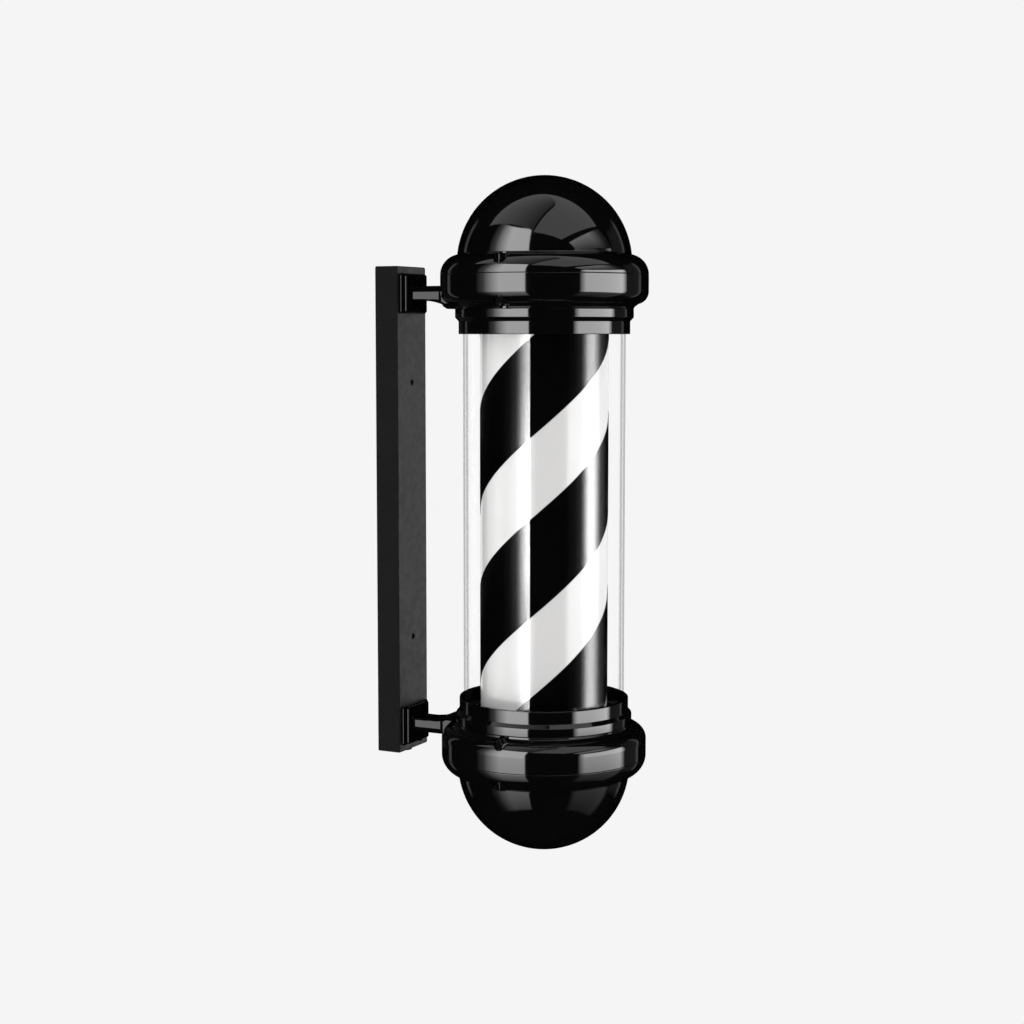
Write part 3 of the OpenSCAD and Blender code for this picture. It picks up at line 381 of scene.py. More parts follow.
# Zinc plated steel: bluish bright, patchy dulling
zinc = finish(
    "zinc_plated_steel", ("#b6bac0", "#9da3aa"), 4, (0.25, 0.42), 2, 0.004, 0.5, Metallic=1.0)[0]
# Black moulded rubber: soft, even and dull
rubber = finish(
    "moulded_rubber", ("#161616", "#1d1d1d"), 6, (0.6, 0.75), 3, 0.01, 0.6, IOR=1.52)[0]
# Milled aluminium plate and drawn tube: fine lines along the cut
aluminium = finish(
    "milled_aluminium", ("#c9cccf", "#b9bdc1"), 12, (0.24, 0.4), 3, 0.004, 1.2, (1, 8, 1), Metallic=1.0)[0]
# Deep drawn and plated motor can
motor_can = finish(
    "plated_motor_can", ("#c2c3c3", "#adafb0"), 9, (0.22, 0.36), 4, 0.003, 0.8, Metallic=1.0)[0]
# Turned brass: warm, with fine turning marks across the axis
brass = finish(
    "turned_brass", ("#c9a04a", "#b58c3c"), 5, (0.2, 0.34), 2, 0.004, 0.6, (1, 1, 9), Metallic=1.0)[0]
# Light grey moulded plastic: even spark eroded texture
grey_plastic = finish(
    "moulded_grey_plastic", ("#d3d3cf", "#cbcbc7"), 10, (0.4, 0.52), 3, 0.01, 0.5, IOR=1.53)[0]
# Natural nylon: creamy, waxy and slightly translucent
nylon = finish(
    "natural_nylon", ("#e4dfcc", "#dad4bf"), 8, (0.35, 0.48), 3, 0.006, 0.6, IOR=1.53,
    Subsurface_Weight=0.15, Subsurface_Scale=0.002)[0]
# Wire insulation: smooth soft vinyl
red_vinyl = finish(
    "red_vinyl_lead", ("#b2241c", "#a01f18"), 6, (0.35, 0.45), 2, 0.003, 0.5, IOR=1.53)[0]
blue_vinyl = finish(
    "blue_vinyl_lead", ("#2350b0", "#1f479e"), 6, (0.35, 0.45), 2, 0.003, 0.5, IOR=1.53)[0]
# Black vinyl film: deep and even, under the clear tube it shows no gloss of its own
film_vinyl = finish(
    "black_vinyl_film", ("#040404", "#060606"), 40, (0.3, 0.4), 15, 0.002, 9, IOR=1.25)[0]
# Opal extruded plastic, with a faint painted glow that stands in for the lamps on the post lighting it from
# inside
opal_with_painted_glow = finish(
    "opal_drum_plastic", ("#dedddd", "#dad9d8"), 70, (0.12, 0.18), 12, 0.001, 30, IOR=1.42,
    Emission_Color=linear("#fffdf8"), Emission_Strength=0.02)[0]

# Lamp strips: white boards with a yellow phosphor square every 24 mm
LAMP_PITCH, LAMP_HALF = 24.0, 2.6
lamp_board, tree, shader, where, colour = finish(
    "lamp_board", ("#e9e7df", "#dedcd2"), 5, (0.3, 0.4), 2, 0.004, 0.5, IOR=1.5)
along = add(tree, "SeparateXYZ", None, {0: where})
nearest = add(tree, "Math", {"operation": "PINGPONG"}, {0: along.outputs[2], 1: LAMP_PITCH / 2 * MM})
on_lamp = add(tree, "Math", {"operation": "LESS_THAN"}, {0: nearest.outputs[0], 1: LAMP_HALF * MM})
lamp_mix = add(tree, "Mix", {"data_type": "RGBA"}, {
    0: on_lamp.outputs[0], 6: colour.outputs[2], 7: linear("#e9c84a")})
tree.links.new(lamp_mix.outputs[2], shader.inputs["Base Color"])

# Extruded clear acrylic: a wall so clear that only its two surfaces show, by what they reflect. What
# they hold back of the pale room behind is added back to what they let through, a painted reflection of
# that room, so the tube doesn't darken what is behind it, except near its edges, where a painted grey
# shade stands in for the wall seen edgewise. With f the share that the surface is turned away, it
# reflects 0.04 + 0.3 f^5, as plastic does up to grazing. From 0.7 to 0.84 of f the painted edge shade
# takes 27 % of what it lets through.
FRONT_MIRROR, EDGE_MIRROR = 0.04, 0.3
GREY_FROM, GREY_TO, GREY = 0.7, 0.84, 0.27
acrylic = bpy.data.materials.new("clear_acrylic")
acrylic.use_nodes = True
tree = acrylic.node_tree
tree.nodes.clear()
where = add(tree, "TexCoord").outputs["Object"]
drawn = add(tree, "Mapping", None, {"Vector": where, "Scale": (1, 1, 0.2)}).outputs["Vector"]
ripple = add(tree, "TexNoise", None, {"Vector": drawn, "Scale": 1 / (40 * MM), "Detail": 1.0})
relief = add(tree, "Bump", None, {"Height": ripple.outputs[0], "Distance": 0.0006 * MM, "Strength": 1.0})
away = add(tree, "LayerWeight", None, {"Blend": 0.5}).outputs["Facing"]
steep = add(tree, "Math", {"operation": "POWER"}, {0: away, 1: 5.0})
share = add(tree, "Math", {"operation": "MULTIPLY_ADD"}, {
    0: steep.outputs[0], 1: EDGE_MIRROR, 2: FRONT_MIRROR})
passed = add(tree, "Math", {"operation": "SUBTRACT"}, {0: 1.0, 1: share.outputs[0]})
# Painted grey shade near the edges, and the held back share added back to what passes as a painted reflection
# of the room
edge_on = add(tree, "MapRange", {"interpolation_type": "SMOOTHSTEP"}, {
    0: away, 1: GREY_FROM, 2: GREY_TO})
clear = add(tree, "Math", {"operation": "MULTIPLY_ADD"}, {
    0: edge_on.outputs[0], 1: -GREY, 2: 1.0})
passed_with_painted_room = add(tree, "Math", {"operation": "DIVIDE"}, {0: clear.outputs[0], 1: passed.outputs[0]})
through = add(tree, "BsdfTransparent", None, {"Color": passed_with_painted_room.outputs[0]})
mirror = add(tree, "BsdfAnisotropic", None, {
    "Color": (1, 1, 1, 1), "Roughness": 0.03, "Normal": relief.outputs[0]})
wall = add(tree, "MixShader", None, {
    0: share.outputs[0], 1: through.outputs[0], 2: mirror.outputs[0]})
add(tree, "OutputMaterial", None, {"Surface": wall.outputs[0]})

CARRIED = {
    zinc: ["wall_spacers", "bracket_nuts", "arm_bolts", "neck_ring_screws", "plate_screws",
           "post_washers", "post_nuts", "post_collar", "disc_screws", "gear_screws", "motor_screws",
           "driver_screws", "terminal_screw"],
    rubber: ["tube_gaskets", "dome_seals", "cable_grommet"],
    aluminium: ["upper_end_plate", "lower_end_plate", "centre_post"],
    motor_can: ["motor", "motor_shaft"],
    brass: ["thrust_washer", "motor_pinion"],
    grey_plastic: ["lower_drum_disc", "upper_drum_disc", "led_driver", "terminal_block"],
    nylon: ["lower_drum_bush", "upper_drum_bush", "drum_gear"],
    lamp_board: ["led_strips"],
    red_vinyl: ["motor_lead", "driver_lead"],
    blue_vinyl: ["led_lead"],
    black_steel: ["post_collar_screw", "pinion_screw"],
}
for material, names in CARRIED.items():
    for name in names:
        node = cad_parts[name]
        if not node.material_slots:
            node.data.materials.append(None)
        for held in node.material_slots:
            held.link = "OBJECT"
            held.material = material


# Pieces

# Collar: the groove lip, a short cone, a quarter round, the upright band, and the rebate for the dome
cone_angle = math.degrees(math.atan2(CONE[1] - CORNER_Z, CONE[0] - (BULGE_R - CORNER_R)))
collar_line = profile(
    [[SHELF_R, GROOVE, 0.4], [LIP_R, GROOVE, 0.7], [LIP_R + 0.7, GROOVE + 2, 1.5]],
    arc((BULGE_R - CORNER_R, CORNER_Z), CORNER_R, cone_angle, 0, 26),
    [[BULGE_R, SEAM, 0.7], [REBATE_R, SEAM, 0.3], [REBATE_R, REBATE_Z, 0], [CAVITY_R, REBATE_Z, 0],
     [CAVITY_R, COLLAR_THICK, 2], [COLLAR_STEP, COLLAR_THICK, 0.5], [COLLAR_STEP, COLLAR_FLOOR, 0.3],
     [SHELF_R, COLLAR_FLOOR, 0.4]])
lug = turned(profile([[0, COLLAR_FLOOR - 0.5, 0], [LUG_R, COLLAR_FLOOR - 0.5, 0],
                      [LUG_R, LUG_TOP, 0.4], [0, LUG_TOP, 0]], closed=False), False, steps=PEG_ROUND)
collar = joined([turned(collar_line), *around(lug, LUG_CIRCLE, LUG_ANGLES)])

# Neck ring: a narrow rim, a slope and a wide step, with the tube's socket inside
neck_ring = turned(profile([
    [NECK_BORE, RIM, 0.5], [NECK_R, RIM, 0.8], [NECK_R, NECK_LOW, 1.0], [LIP_R, NECK_HIGH, 1.2],
    [LIP_R, GROOVE, 0.8], [SHELF_R, GROOVE, 0.4], [SHELF_R, SHELF, 0.5], [NECK_BORE, SHELF, 0.3]]))

# Dome: a sphere that meets the quarter round of the shoulder in a small fillet. The fillet's centre
# lies a dome radius and its own from the dome's centre, and a shoulder radius and its own from the
# shoulder's, on the outside of both.
shoulder_c = np.array([BULGE_R - SHOULDER_R, SEAM])
dome_c = np.array([0.0, DOME_Z])
reach_a, reach_b = DOME_R + CREASE_R, SHOULDER_R + CREASE_R
gap = shoulder_c - dome_c
span = np.linalg.norm(gap)
along_gap = (reach_a ** 2 - reach_b ** 2 + span ** 2) / (2 * span)
off_gap = math.sqrt(reach_a ** 2 - along_gap ** 2)
crease_c = dome_c + gap / span * along_gap + np.array([-gap[1], gap[0]]) / span * off_gap
dome_stop = math.degrees(math.atan2(*(crease_c - dome_c)[::-1]))
shoulder_start = math.degrees(math.atan2(*(crease_c - shoulder_c)[::-1]))
inner_r = DOME_R - DOME_WALL
inner_stop = math.degrees(math.asin((DOME_FLOOR - DOME_Z) / inner_r))
dome_line = profile(
    arc((0, DOME_Z), DOME_R, 90, dome_stop, 60),
    arc(crease_c, CREASE_R, dome_stop - 180, shoulder_start - 180, 4),
    arc(shoulder_c, SHOULDER_R, shoulder_start, 1.5, 24),
    [[BULGE_R, SEAM, 0.5], [SPIGOT_R, SEAM, 0], [SPIGOT_R, SPIGOT_Z, 0.3], [SPIGOT_IN, SPIGOT_Z, 0.3],
     [SPIGOT_IN, DOME_FLOOR, 0]],
    arc((0, DOME_Z), inner_r, inner_stop, 90, 40), closed=False)
dome = turned(dome_line, False)

# What the through bolts need: a stepped hole at each, wide where a head or a nut stands
dome_notch = turned(profile([
    [0, CUT_ABOVE, 0], [NOTCH_R, CUT_ABOVE, 0], [NOTCH_R, NOTCH_DOME, 0], [BOLT_HOLE, NOTCH_DOME, 0],
    [BOLT_HOLE, DOME_HOLE_LOW, 0], [0, DOME_HOLE_LOW, 0]], closed=False), False, steps=NOTCH_ROUND)
collar_notch = turned(profile([
    [0, COLLAR_HOLE_TOP, 0], [BOLT_HOLE, COLLAR_HOLE_TOP, 0], [BOLT_HOLE, NOTCH_COLLAR, 0],
    [NOTCH_R, NOTCH_COLLAR, 0], [NOTCH_R, CUT_BELOW, 0], [0, CUT_BELOW, 0]], closed=False), False,
    steps=NOTCH_ROUND)
dome_notches = joined(around(dome_notch, BOLT_CIRCLE, BOLT_ANGLES))
collar_notches = joined(around(collar_notch, BOLT_CIRCLE, BOLT_ANGLES))

for side, turn in (("upper", lambda s: s), ("lower", flipped)):
    piece = mesh_object(side + "_dome_skin", turn(dome))
    carve(piece, turn(dome_notches))
    finish_piece(piece, gloss_enamel, "frame", "gloss_black_enamel", side + "_dome")
    piece = mesh_object(side + "_collar_skin", turn(collar))
    carve(piece, turn(collar_notches))
    finish_piece(piece, gloss_enamel, "frame", "gloss_black_enamel", side + "_collar")
    piece = mesh_object(side + "_neck_ring_skin", turn(neck_ring))
    finish_piece(piece, gloss_enamel, "frame", "gloss_black_enamel", side + "_neck_ring")

# Through bolts: a head with a rounded rim and a hexagon socket, washers and chamfered nuts
head_z = NOTCH_DOME + WASHER_T
top = head_z + BOLT_HEAD_H
bolt = spun([
    (0.4 * BOLT_R, BOLT_END), (BOLT_R - 0.6, BOLT_END), (BOLT_R, BOLT_END + 0.7), (BOLT_R, head_z),
    (BOLT_HEAD_R - 0.2, head_z), (BOLT_HEAD_R, head_z + 0.3), (BOLT_HEAD_R, top - 1.0),
    (BOLT_HEAD_R - 0.12, top - 0.5), (BOLT_HEAD_R - 0.5, top - 0.12), (BOLT_HEAD_R - 1.0, top),
    (hexagon(SOCKET) + 0.45, top), (hexagon(SOCKET), top - 0.4), (hexagon(SOCKET), top - 3.7),
    (0.6 * SOCKET, top - 4.3)])
nut_top = NOTCH_COLLAR - WASHER_T
nut_low = nut_top - NUT_H
hexed = hexagon(NUT_AF / 2)
nut = spun([
    (BOLT_R + 0.05, nut_low), (BOLT_R + 0.6, nut_low), (np.minimum(hexed, NUT_AF / 2 - 0.1), nut_low),
    (np.minimum(hexed, NUT_AF / 2 + 0.75), nut_low + 0.5), (hexed, nut_low + 0.95),
    (hexed, nut_top - 0.95), (np.minimum(hexed, NUT_AF / 2 + 0.75), nut_top - 0.5),
    (np.minimum(hexed, NUT_AF / 2 - 0.1), nut_top), (BOLT_R + 0.05, nut_top)])
washer = turned(profile([
    [BOLT_HOLE, 0, 0.15], [WASHER_R, 0, 0.3], [WASHER_R, WASHER_T, 0.3], [BOLT_HOLE, WASHER_T, 0.15]]),
    steps=NOTCH_ROUND)
washers = [moved(washer, shift=(0, 0, z)) for z in (NOTCH_DOME, nut_top)]


def at_both_ends(shapes):
    """The shapes at the upper end of the pole and turned over at the lower."""
    upper = joined(shapes)
    return joined([upper, flipped(upper)])


for name, shape in (("cap_bolts", [bolt]), ("cap_nuts", [nut]), ("cap_washers", washers)):
    every = [copy for one in shape for copy in around(one, BOLT_CIRCLE, BOLT_ANGLES)]
    finish_piece(mesh_object(name + "_skin", at_both_ends(every)), black_steel, "frame", "black_screws",
                 name)

# Clear tube with polished ends
tube = turned(profile([
    [BORE_R, -TUBE_END, 0.3], [TUBE_R, -TUBE_END, 0.3], [TUBE_R, TUBE_END, 0.3],
    [BORE_R, TUBE_END, 0.3]]), steps=FINE_ROUND)
finish_piece(mesh_object("clear_tube", tube), acrylic, "frame", "clear_acrylic", "outer_tube")

# Drum shell, and the film on it: a band between two radii over a range of angle, which turns as it
# climbs, by a full turn for each stripe lead
drum_in = DRUM_R - DRUM_WALL
shell = turned(profile([
    [drum_in, -DRUM_HALF, 0.3], [DRUM_R, -DRUM_HALF, 0.4], [DRUM_R, DRUM_HALF, 0.4],
    [drum_in, DRUM_HALF, 0.3]]), steps=FINE_ROUND)
# The drum's finish carries the faint painted glow of the lamps inside it
finish_piece(mesh_object("striped_drum_shell", shell), opal_with_painted_glow, "drum", "white_drum_plastic", "drum_shell")


def film_band(middle, heights=180, across=48):
    """One stripe: at height z its middle stands at middle + 360 z / lead degrees, and it reaches half
    of 360 * height / lead to each side, on the film's inner and outer radius."""
    z = np.linspace(-FILM_HALF, FILM_HALF, heights)[:, None]
    half = STRIPE_H / STRIPE_LEAD * 180
    a = np.linspace(-half, half, across)
    a = np.radians(middle + 360 * z / STRIPE_LEAD + np.concatenate([a, a[::-1]]))
    r = np.concatenate([np.full(across, FILM_IN), np.full(across, FILM_OUT)])
    return skin(np.stack([r * np.cos(a), r * np.sin(a), z + 0 * a], -1), strip=True)


film = joined([film_band(STRIPE_ANGLE), film_band(STRIPE_ANGLE + 180)])
finish_piece(mesh_object("stripe_film", film), film_vinyl, "drum", "black_film", "drum_stripes")

# Mounting channel: rounded rectangles from the inside of its face, out round the open back edge and
# along the folded sides to the face, with its punched holes
board = stack(BOARD_W, BOARD_H, 2.2, [
    (FACE_Y + SHEET, SHEET + 1.2), *edge(FACE_Y + SHEET, SHEET, 1.0, -1)[::-1],
    (POLE_OFF - 0.3, SHEET), (POLE_OFF, SHEET - 0.3), (POLE_OFF, 0.3), (POLE_OFF - 0.3, 0),
    *edge(FACE_Y, 0, 1.6, -1, 7)])
channel = mesh_object("channel_shell", board)
# Turns a shape's height towards the pole
TO_POLE = [[1, 0, 0], [0, 0, -1], [0, 1, 0]]


def peg(radius, low, high, steps=PEG_ROUND):
    """A plain round cutter between two heights."""
    return turned(np.array([[0, low], [radius, low], [radius, high], [0, high]], float), False,
                  steps=steps)


def pegs(radius, low, high, *places):
    """Round cutters along Y at places (x, z), from y low to high."""
    return joined([moved(peg(radius, -high, -low), TO_POLE, (x, 0, z)) for x, z in places])


foot_places = [(0, s * ARM_Z + u * FOOT_SPAN / 2) for s in (1, -1) for u in (1, -1)]
wall_places = [(0, HOLE_SPAN / 2), (0, -HOLE_SPAN / 2)]
for radius, places in ((HOLE_R, wall_places), (FOOT_HOLE, foot_places), (WIRE_R, [(0, -ARM_Z)])):
    carve(channel, pegs(radius, FACE_Y - 1, FACE_Y + SHEET + 1, *places))
board_middle = (FACE_Y + POLE_OFF) / 2
grommet_hole = peg(GROMMET_R, -BOARD_H / 2 - 1, -BOARD_H / 2 + SHEET + 1)
carve(channel, moved(grommet_hole, shift=(0, board_middle, 0)))
finish_piece(channel, satin_enamel, "frame", "channel_enamel", "mounting_channel")

# Bracket: a cast arm, swept out of the collar to a foot with a raised pad, and cut to sit on the collar
seat = profile([[0, GROOVE, 0], [LIP_R, GROOVE, 0.7], [LIP_R + 0.7, GROOVE + 2, 1.5]],
               arc((BULGE_R - CORNER_R, CORNER_Z), CORNER_R, cone_angle, 0, 26),
               [[BULGE_R, SEAM, 0], [0, SEAM, 0]], closed=False)
seat = turned(seat, False)


def arm():
    """The arm: a rounded section for each y. Its half width is the arm's, and from the side curve's
    start on it grows by that circle's drop, as its underside does by the flare's circle; top and
    underside rise in a quarter round to the foot. Its upper edges are softer than its lower ones,
    which soften towards the collar."""
    y = np.concatenate([
        np.linspace(ARM_START, ARM_BEND, ARM_STEPS),
        np.linspace(ARM_BEND, FACE_Y - FOOT_T - 0.1, ARM_STEPS)[1:]])
    drop = SIDE_R - np.sqrt(np.maximum(SIDE_R ** 2 - np.clip(SIDE_Y - y, 0, SIDE_R) ** 2, 0))
    wide = np.minimum(ARM_W + drop, ROOT_W)
    fall = FLARE_R - np.sqrt(FLARE_R ** 2 - np.clip(FLARE_Y - y, 0, FLARE_R - 1) ** 2)
    pad_y = FACE_Y - FOOT_T - PAD_T
    rise = np.clip(y - (pad_y - PAD_ROOT), 0, PAD_ROOT)
    rise = PAD_ROOT - np.sqrt(PAD_ROOT ** 2 - rise ** 2)
    low = np.maximum(ARM_Z - ARM_HALF - fall, GROOVE + 0.35) - rise
    high = ARM_Z + ARM_HALF + rise
    half = np.stack([
        np.stack([wide, high, TOP_EDGE + 0 * y], -1),
        np.stack([wide, low, LOW_EDGE + 0 * y], -1)], 1)
    half[:, 1, 2] += np.clip((EDGE_START - y) / EDGE_RUN, 0, 1) * EDGE_GAIN
    other = half[:, ::-1] * [-1, 1, 1]
    section = rounded(np.concatenate([half, other], 1), 9)
    return skin(np.stack([section[..., 0], y[:, None] + 0 * section[..., 0], section[..., 1]], -1))


foot_y, pad_y = FACE_Y - FOOT_T, FACE_Y - FOOT_T - PAD_T
foot = stack(FOOT_W, FOOT_H, 2, [
    *edge(FACE_Y, 0, 0.4, 1, 3)[::-1], *edge(foot_y, 0, 0.9, -1)], ARM_Z)
pad = stack(PAD_W, PAD_H, 2, [
    (foot_y + 0.5, 0), *edge(pad_y, 0, 1.6, -1)], ARM_Z)
for side, turn in (("upper", lambda s: s), ("lower", flipped)):
    piece = mesh_object(side + "_bracket_skin", turn(foot))
    carve(piece, turn(pad), "UNION")
    carve(piece, turn(arm()), "UNION")
    carve(piece, turn(seat))
    carve(piece, turn(pegs(FOOT_HOLE, pad_y - 5, FACE_Y + 1, *foot_places[:2])))
    carve(piece, turn(pegs(WIRE_R, 100, FACE_Y + 1, (0, ARM_Z))))
    finish_piece(piece, gloss_enamel, "frame", "gloss_black_enamel", side + "_bracket")

# Foot screws: pan heads with a cross recess, standing on the pad and looking at the pole
r, tip = FOOT_SCREW_R, -17
screw = spun([
    (0.4 * r, tip), (r - 0.4, tip), (r, tip + 0.5), (r, 0), (1.86 * r, 0), (1.9 * r, 0.25), (1.9 * r, 1.3),
    (1.82 * r, 1.85), (1.62 * r, 2.35), (1.36 * r, 2.68), (1.1 * r, 2.86),
    (cross(1.0 * r, 0.55), 2.9), (cross(0.92 * r, 0.48), 2.6), (cross(0.7 * r, 0.4), 1.2), (0.35, 0.9)])
screws = joined([moved(screw, TO_POLE, (x, pad_y, z)) for x, z in foot_places])
finish_piece(mesh_object("bracket_screws_skin", screws), black_steel, "frame", "black_screws",
             "bracket_screws")

# Studio. Directions are an azimuth about the pole from the camera's side, positive towards the right
# of the picture, and an elevation.
TO_CAMERA = np.array([-0.903, -0.431, 0.0])
TO_RIGHT = np.array([0.431, -0.903, 0.0])
PALE = linear("#f5f5f5")
CARD_FAR, DRUM_FAR = 10.0, 17.0


def towards(azimuth, elevation):
    """Unit vector of a direction."""
    a, e = math.radians(azimuth), math.radians(elevation)
    flat = TO_CAMERA * math.cos(a) + TO_RIGHT * math.sin(a)
    return np.array([0, 0, math.sin(e)]) + flat * math.cos(e)


def glow(name, power, colour=(1, 1, 1, 1), fade=True):
    """Light of that radiance, times the card's own fade where it has one."""
    made = bpy.data.materials.new(name)
    made.use_nodes = True
    tree = made.node_tree
    tree.nodes.clear()
    level = power
    if fade:
        shade = add(tree, "Attribute", {"attribute_name": "fade"})
        level = add(tree, "Math", {"operation": "MULTIPLY"}, {
            0: shade.outputs["Fac"], 1: power}).outputs[0]
    light = add(tree, "Emission", None, {"Color": colour, "Strength": level})
    add(tree, "OutputMaterial", None, {"Surface": light.outputs[0]})
    return made


def card(name, corners, power, only, across=None, upward=None, far=CARD_FAR, n=40):
    """A card of light that shows only in reflections: its four corners are directions, its points lie
    between them in even shares (u, v), pushed out to one distance. across and upward are (places,
    levels) that fade it along u and v, and only is the collection that it lights."""
    a, b, c, d = (towards(*p) if len(p) == 2 else np.array(p, float) for p in corners)
    u = np.linspace(0, 1, n + 1)[:, None, None]
    v = np.linspace(0, 1, n + 1)[None, :, None]
    points = (a * (1 - u) + b * u) * (1 - v) + (d * (1 - u) + c * u) * v
    points = points / np.linalg.norm(points, axis=-1, keepdims=True) * far
    points = points.reshape(-1, 3) - [0, POLE_OFF * MM, 0]
    index = np.arange((n + 1) ** 2).reshape(n + 1, n + 1)
    faces = np.stack([index[:-1, :-1], index[1:, :-1], index[1:, 1:], index[:-1, 1:]], -1).reshape(-1, 4)
    mesh = bpy.data.meshes.new(name)
    mesh.from_pydata(points.tolist(), [], faces.tolist())
    fade = np.ones((n + 1, n + 1))
    if across is not None:
        fade = fade * np.interp(u[:, :, 0], *across)
    if upward is not None:
        fade = fade * np.interp(v[:, :, 0], *upward)
    mesh.attributes.new("fade", "FLOAT", "POINT").data.foreach_set("value", fade.ravel())
    made = bpy.data.objects.new(name, mesh)
    bpy.context.scene.collection.objects.link(made)
    mesh.materials.append(glow(name, power))
    made.visible_camera = False
    made.visible_diffuse = False
    made.visible_transmission = False
    made.visible_shadow = False
    made.light_linking.receiver_collection = only


def receivers(name, test):
    """A collection of the shown pieces that a test picks, for cards that light only them."""
    made = bpy.data.collections.new(name)
    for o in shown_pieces():
        if test(o.name):
            made.objects.link(o)
    return made


def beam(name, centre, size, radiance, only, across, upward):
    """A flat light 10 m off that shows only in reflections, facing the pole from its centre (azimuth,
    elevation), with its width and height in metres. Cycles makes its radiance a quarter of its power
    over its area. across and upward are (degrees, levels) over azimuth and elevation, straight lines
    between their places, and what it gives off in a direction is the product of the two."""
    light = bpy.data.lights.new(name, "AREA")
    light.shape = "RECTANGLE"
    light.size, light.size_y = size
    light.energy = 4 * size[0] * size[1]
    light.use_nodes = True
    tree = light.node_tree
    tree.nodes.clear()
    spot = add(tree, "NewGeometry").outputs["Position"]
    out = add(tree, "VectorMath", {"operation": "ADD"}, {0: spot, 1: (0, POLE_OFF * MM, 0)}).outputs[0]
    front = add(tree, "VectorMath", {"operation": "DOT_PRODUCT"}, {0: out, 1: TO_CAMERA.tolist()})
    right = add(tree, "VectorMath", {"operation": "DOT_PRODUCT"}, {0: out, 1: TO_RIGHT.tolist()})
    level = add(tree, "VectorMath", {"operation": "MULTIPLY"}, {0: out, 1: (1, 1, 0)}).outputs[0]
    level = add(tree, "VectorMath", {"operation": "LENGTH"}, {0: level})
    height = add(tree, "SeparateXYZ", None, {0: out})
    azimuth = add(tree, "Math", {"operation": "ARCTAN2"}, {
        0: right.outputs["Value"], 1: front.outputs["Value"]})
    elevation = add(tree, "Math", {"operation": "ARCTAN2"}, {
        0: height.outputs[2], 1: level.outputs["Value"]})
    strength = radiance * max(across[1]) * max(upward[1])
    for angle, (places, levels) in ((azimuth, across), (elevation, upward)):
        share = add(tree, "MapRange", None, {
            0: angle.outputs[0], 1: math.radians(places[0]), 2: math.radians(places[-1])})
        ramp = add(tree, "ValToRGB", None, {0: share.outputs[0]})
        stops = ramp.color_ramp.elements
        while len(stops) < len(places):
            stops.new(1.0)
        for stop, place, bright in zip(stops, places, levels):
            stop.position = (place - places[0]) / (places[-1] - places[0])
            stop.color = (*[bright / max(levels)] * 3, 1.0)
        strength = add(tree, "Math", {"operation": "MULTIPLY"}, {
            0: ramp.outputs[0], 1: strength}).outputs[0]
    glowing = add(tree, "Emission", None, {"Color": (1, 1, 1, 1), "Strength": strength})
    add(tree, "OutputLight", None, {"Surface": glowing.outputs[0]})
    made = bpy.data.objects.new(name, light)
    bpy.context.scene.collection.objects.link(made)
    way = towards(*centre)
    made.location = way * CARD_FAR - [0, POLE_OFF * MM, 0]
    made.rotation_mode = "QUATERNION"
    made.rotation_quaternion = Vector(-way).to_track_quat("-Z", "Y")
    made.visible_camera = False
    made.visible_diffuse = False
    made.visible_transmission = False
    made.light_linking.receiver_collection = only


caps = receivers("caps", lambda n: n.endswith(("dome_skin", "collar_skin", "ring_skin", "drum_shell")))
brackets = receivers("brackets", lambda n: n.endswith("bracket_skin"))
screws = receivers("screws", lambda n: n.startswith(("cap_", "bracket_screws")))
drums = receivers("drums", lambda n: n == "striped_drum_shell")
tubes = receivers("tubes", lambda n: n == "clear_tube")
boards = receivers("boards", lambda n: n in ("channel_shell", "wall_spacers"))

# Softboxes to the left and the right of the camera, and what hangs over the pole between them
beam("left_softbox", (-52, -8), (17, 30), 6.4, caps,
     ([-80, -70, -50, -21.5, -20], [0, .1, 1, 1, 0]), ([-53, -50, -17, -12.5, 43, 44], [0, .1, .35, 1, 1, 0]))
beam("right_softbox", (70, -18), (13, 20), 6.4, caps,
     ([38, 46, 94, 102], [0, 1, 1, 0]), ([-53, -50, -17, -12.5, 12.5, 15], [0, .02, .08, 1, 1, 0]))
card("right_softbox_top", [(44, 15), (99, 15), (88, 34.5), (34, 26)], 2.9, caps,
     ([0, .6, .9], [1, 1, .1]), ([0, 1], [.15, 1]))
ZENITH, OVERHEAD_TOP = (0.13, 0.088, 0.988), (0.1, -0.08, 0.98)
card("left_overhead", [(-96, 36), (-0.738, -0.082, 0.670), (0.069, -0.221, 0.973), ZENITH], 1.2, caps,
     ([0, .45, 1], [1, .8, .25]))
card("centre_overhead", [(-17, 40), (24, 30), OVERHEAD_TOP, (0.069, -0.25, 0.973)], 1.2, caps)
card("right_overhead", [(24, 30), (89, 37), ZENITH, OVERHEAD_TOP], 1.2, caps)

# Narrow lights behind the pole that draw a thin line inside each edge of the caps
RIM_UPWARD = ([-30, -25, 25, 30], [0, 1, 1, 0])
beam("left_rim", (-129, 0), (2.4, 12), 0.22, caps, ([-134, -132, -127, -125], [0, 1, 1, 0]), RIM_UPWARD)
beam("right_rim", (116, 0), (7, 12), 0.25, caps,
     ([101, 103, 124, 127, 131, 132], [0, .3, .25, 1, 1, 0]), RIM_UPWARD)

# Pale screens that whiten the drum towards its edges, further off than the lights so as to hide none
card("drum_left", [(-170, -20), (-55, -20), (-55, 15), (-170, 15)], 1.0, drums,
     ([0, .4, .51, .62, .72, .79, .92, 1], [1, 1.1, 2, 5, 5, 4, 1.5, 0]), far=DRUM_FAR)
card("drum_right", [(75, -20), (170, -20), (170, 15), (75, 15)], 1.0, drums,
     ([0, .25, .5, .8, 1], [0, 1.5, 2, 1.2, .8]), far=DRUM_FAR)

# Lights for the brackets and for the screws alone
beam("bracket_softbox", (-48, -5), (13, 6), 2.3, brackets,
     ([-78, -68, -22, -20], [0, 1, 1, 0]), ([-17, -15, 6, 8], [0, 1, 1, 0]))
beam("screw_glint", (-40, 0), (3, 7), 6.0, screws,
     ([-46, -44, -36, -34], [0, 1, 1, 0]), ([-18, -12, 12, 18], [0, 1, 1, 0]))

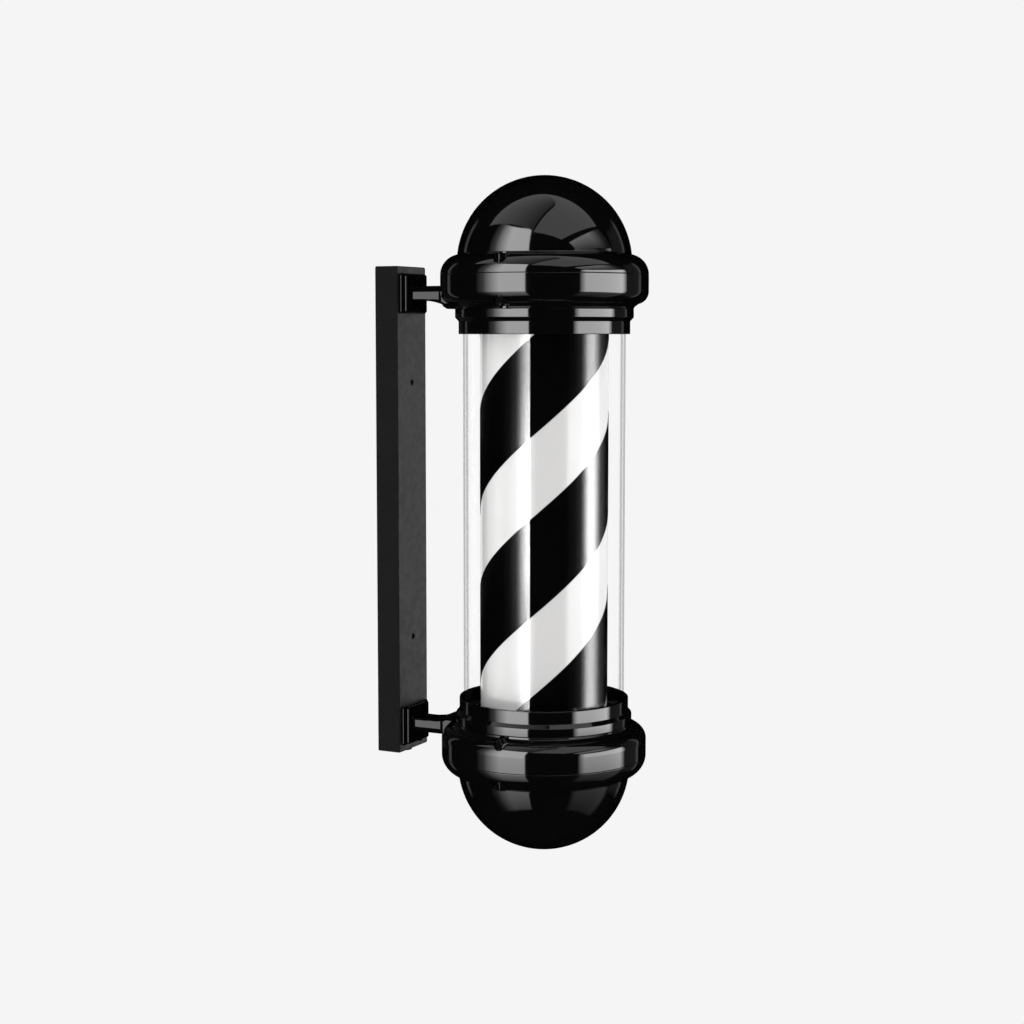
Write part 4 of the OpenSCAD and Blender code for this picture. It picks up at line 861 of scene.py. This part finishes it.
# The bright strips that the clear tube mirrors, left and right of its middle
STRIP_UPWARD = ([-20, -9.8, -7.5, -3, -0.4, 9, 10], [.5, .55, 1, 1, .55, .5, 0])
beam("left_tube_strip", (-42, -5), (9, 8), 1.0, tubes,
     ([-62, -50, -40.4, -36, -31.2, -25.2, -20.6, -20], [0, .04, .33, 1.5, 5, 9.5, 12, 0]),
     STRIP_UPWARD)
beam("right_tube_strip", (68, -5), (13, 8), 1.0, tubes,
     ([37, 45.7, 55, 60, 65, 70, 75, 80, 86.6, 99], [.02, .04, .25, 2.4, 8.6, 10.5, 10.5, 6, .75, 0]),
     STRIP_UPWARD)

# A light that shows on the channel alone
beam("board_light", (130, 0), (14, 14), 0.7, boards,
     ([95, 110, 150, 165], [0, 1, 1, 0]), ([-35, -20, 20, 35], [0, 1, 1, 0]))

# The room: an even pale world that nothing mirrors, and a pale floor that gives off its own light, so
# that it is the same tone everywhere
world = bpy.data.worlds.new("studio")
bpy.context.scene.world = world
world.use_nodes = True
world.node_tree.nodes.clear()
sky = add(world.node_tree, "Background", None, {"Color": PALE, "Strength": 1.0})
add(world.node_tree, "OutputWorld", None, {"Surface": sky.outputs[0]})
world.cycles_visibility.glossy = False

FLOOR_Z, FLOOR_HALF = -2.4, 60.0
floor_mesh = bpy.data.meshes.new("floor")
floor_corners = [(x * FLOOR_HALF, y * FLOOR_HALF, FLOOR_Z) for x, y in ((-1, -1), (1, -1), (1, 1), (-1, 1))]
floor_mesh.from_pydata(floor_corners, [], [(0, 1, 2, 3)])
floor = bpy.data.objects.new("floor", floor_mesh)
bpy.context.scene.collection.objects.link(floor)
floor_mesh.materials.append(glow("pale_floor", 1.0, PALE, False))
floor.visible_glossy = False

# Camera: its place, how far it is turned from +Y and tipped down, in degrees, and its lens, all from a
# fit to the photograph's edges
EYE, TURN, DOWN = (-1.7629, -1.0227, 0.1919), -63.554, 5.480
SENSOR, LENS = 36.0, 66.405
camera = bpy.data.objects.new("camera", bpy.data.cameras.new("camera"))
bpy.context.scene.collection.objects.link(camera)
camera.data.sensor_width, camera.data.lens = SENSOR, LENS
camera.location = EYE
look, down = math.radians(TURN), math.radians(DOWN)
ahead = Vector((-math.sin(look) * math.cos(down), math.cos(look) * math.cos(down), -math.sin(down)))
camera.rotation_mode = "QUATERNION"
camera.rotation_quaternion = ahead.to_track_quat("-Z", "Y")
camera.data.clip_start, camera.data.clip_end = 0.05, 200.0
bpy.context.scene.camera = camera
bpy.context.scene.view_settings.view_transform = "Standard"
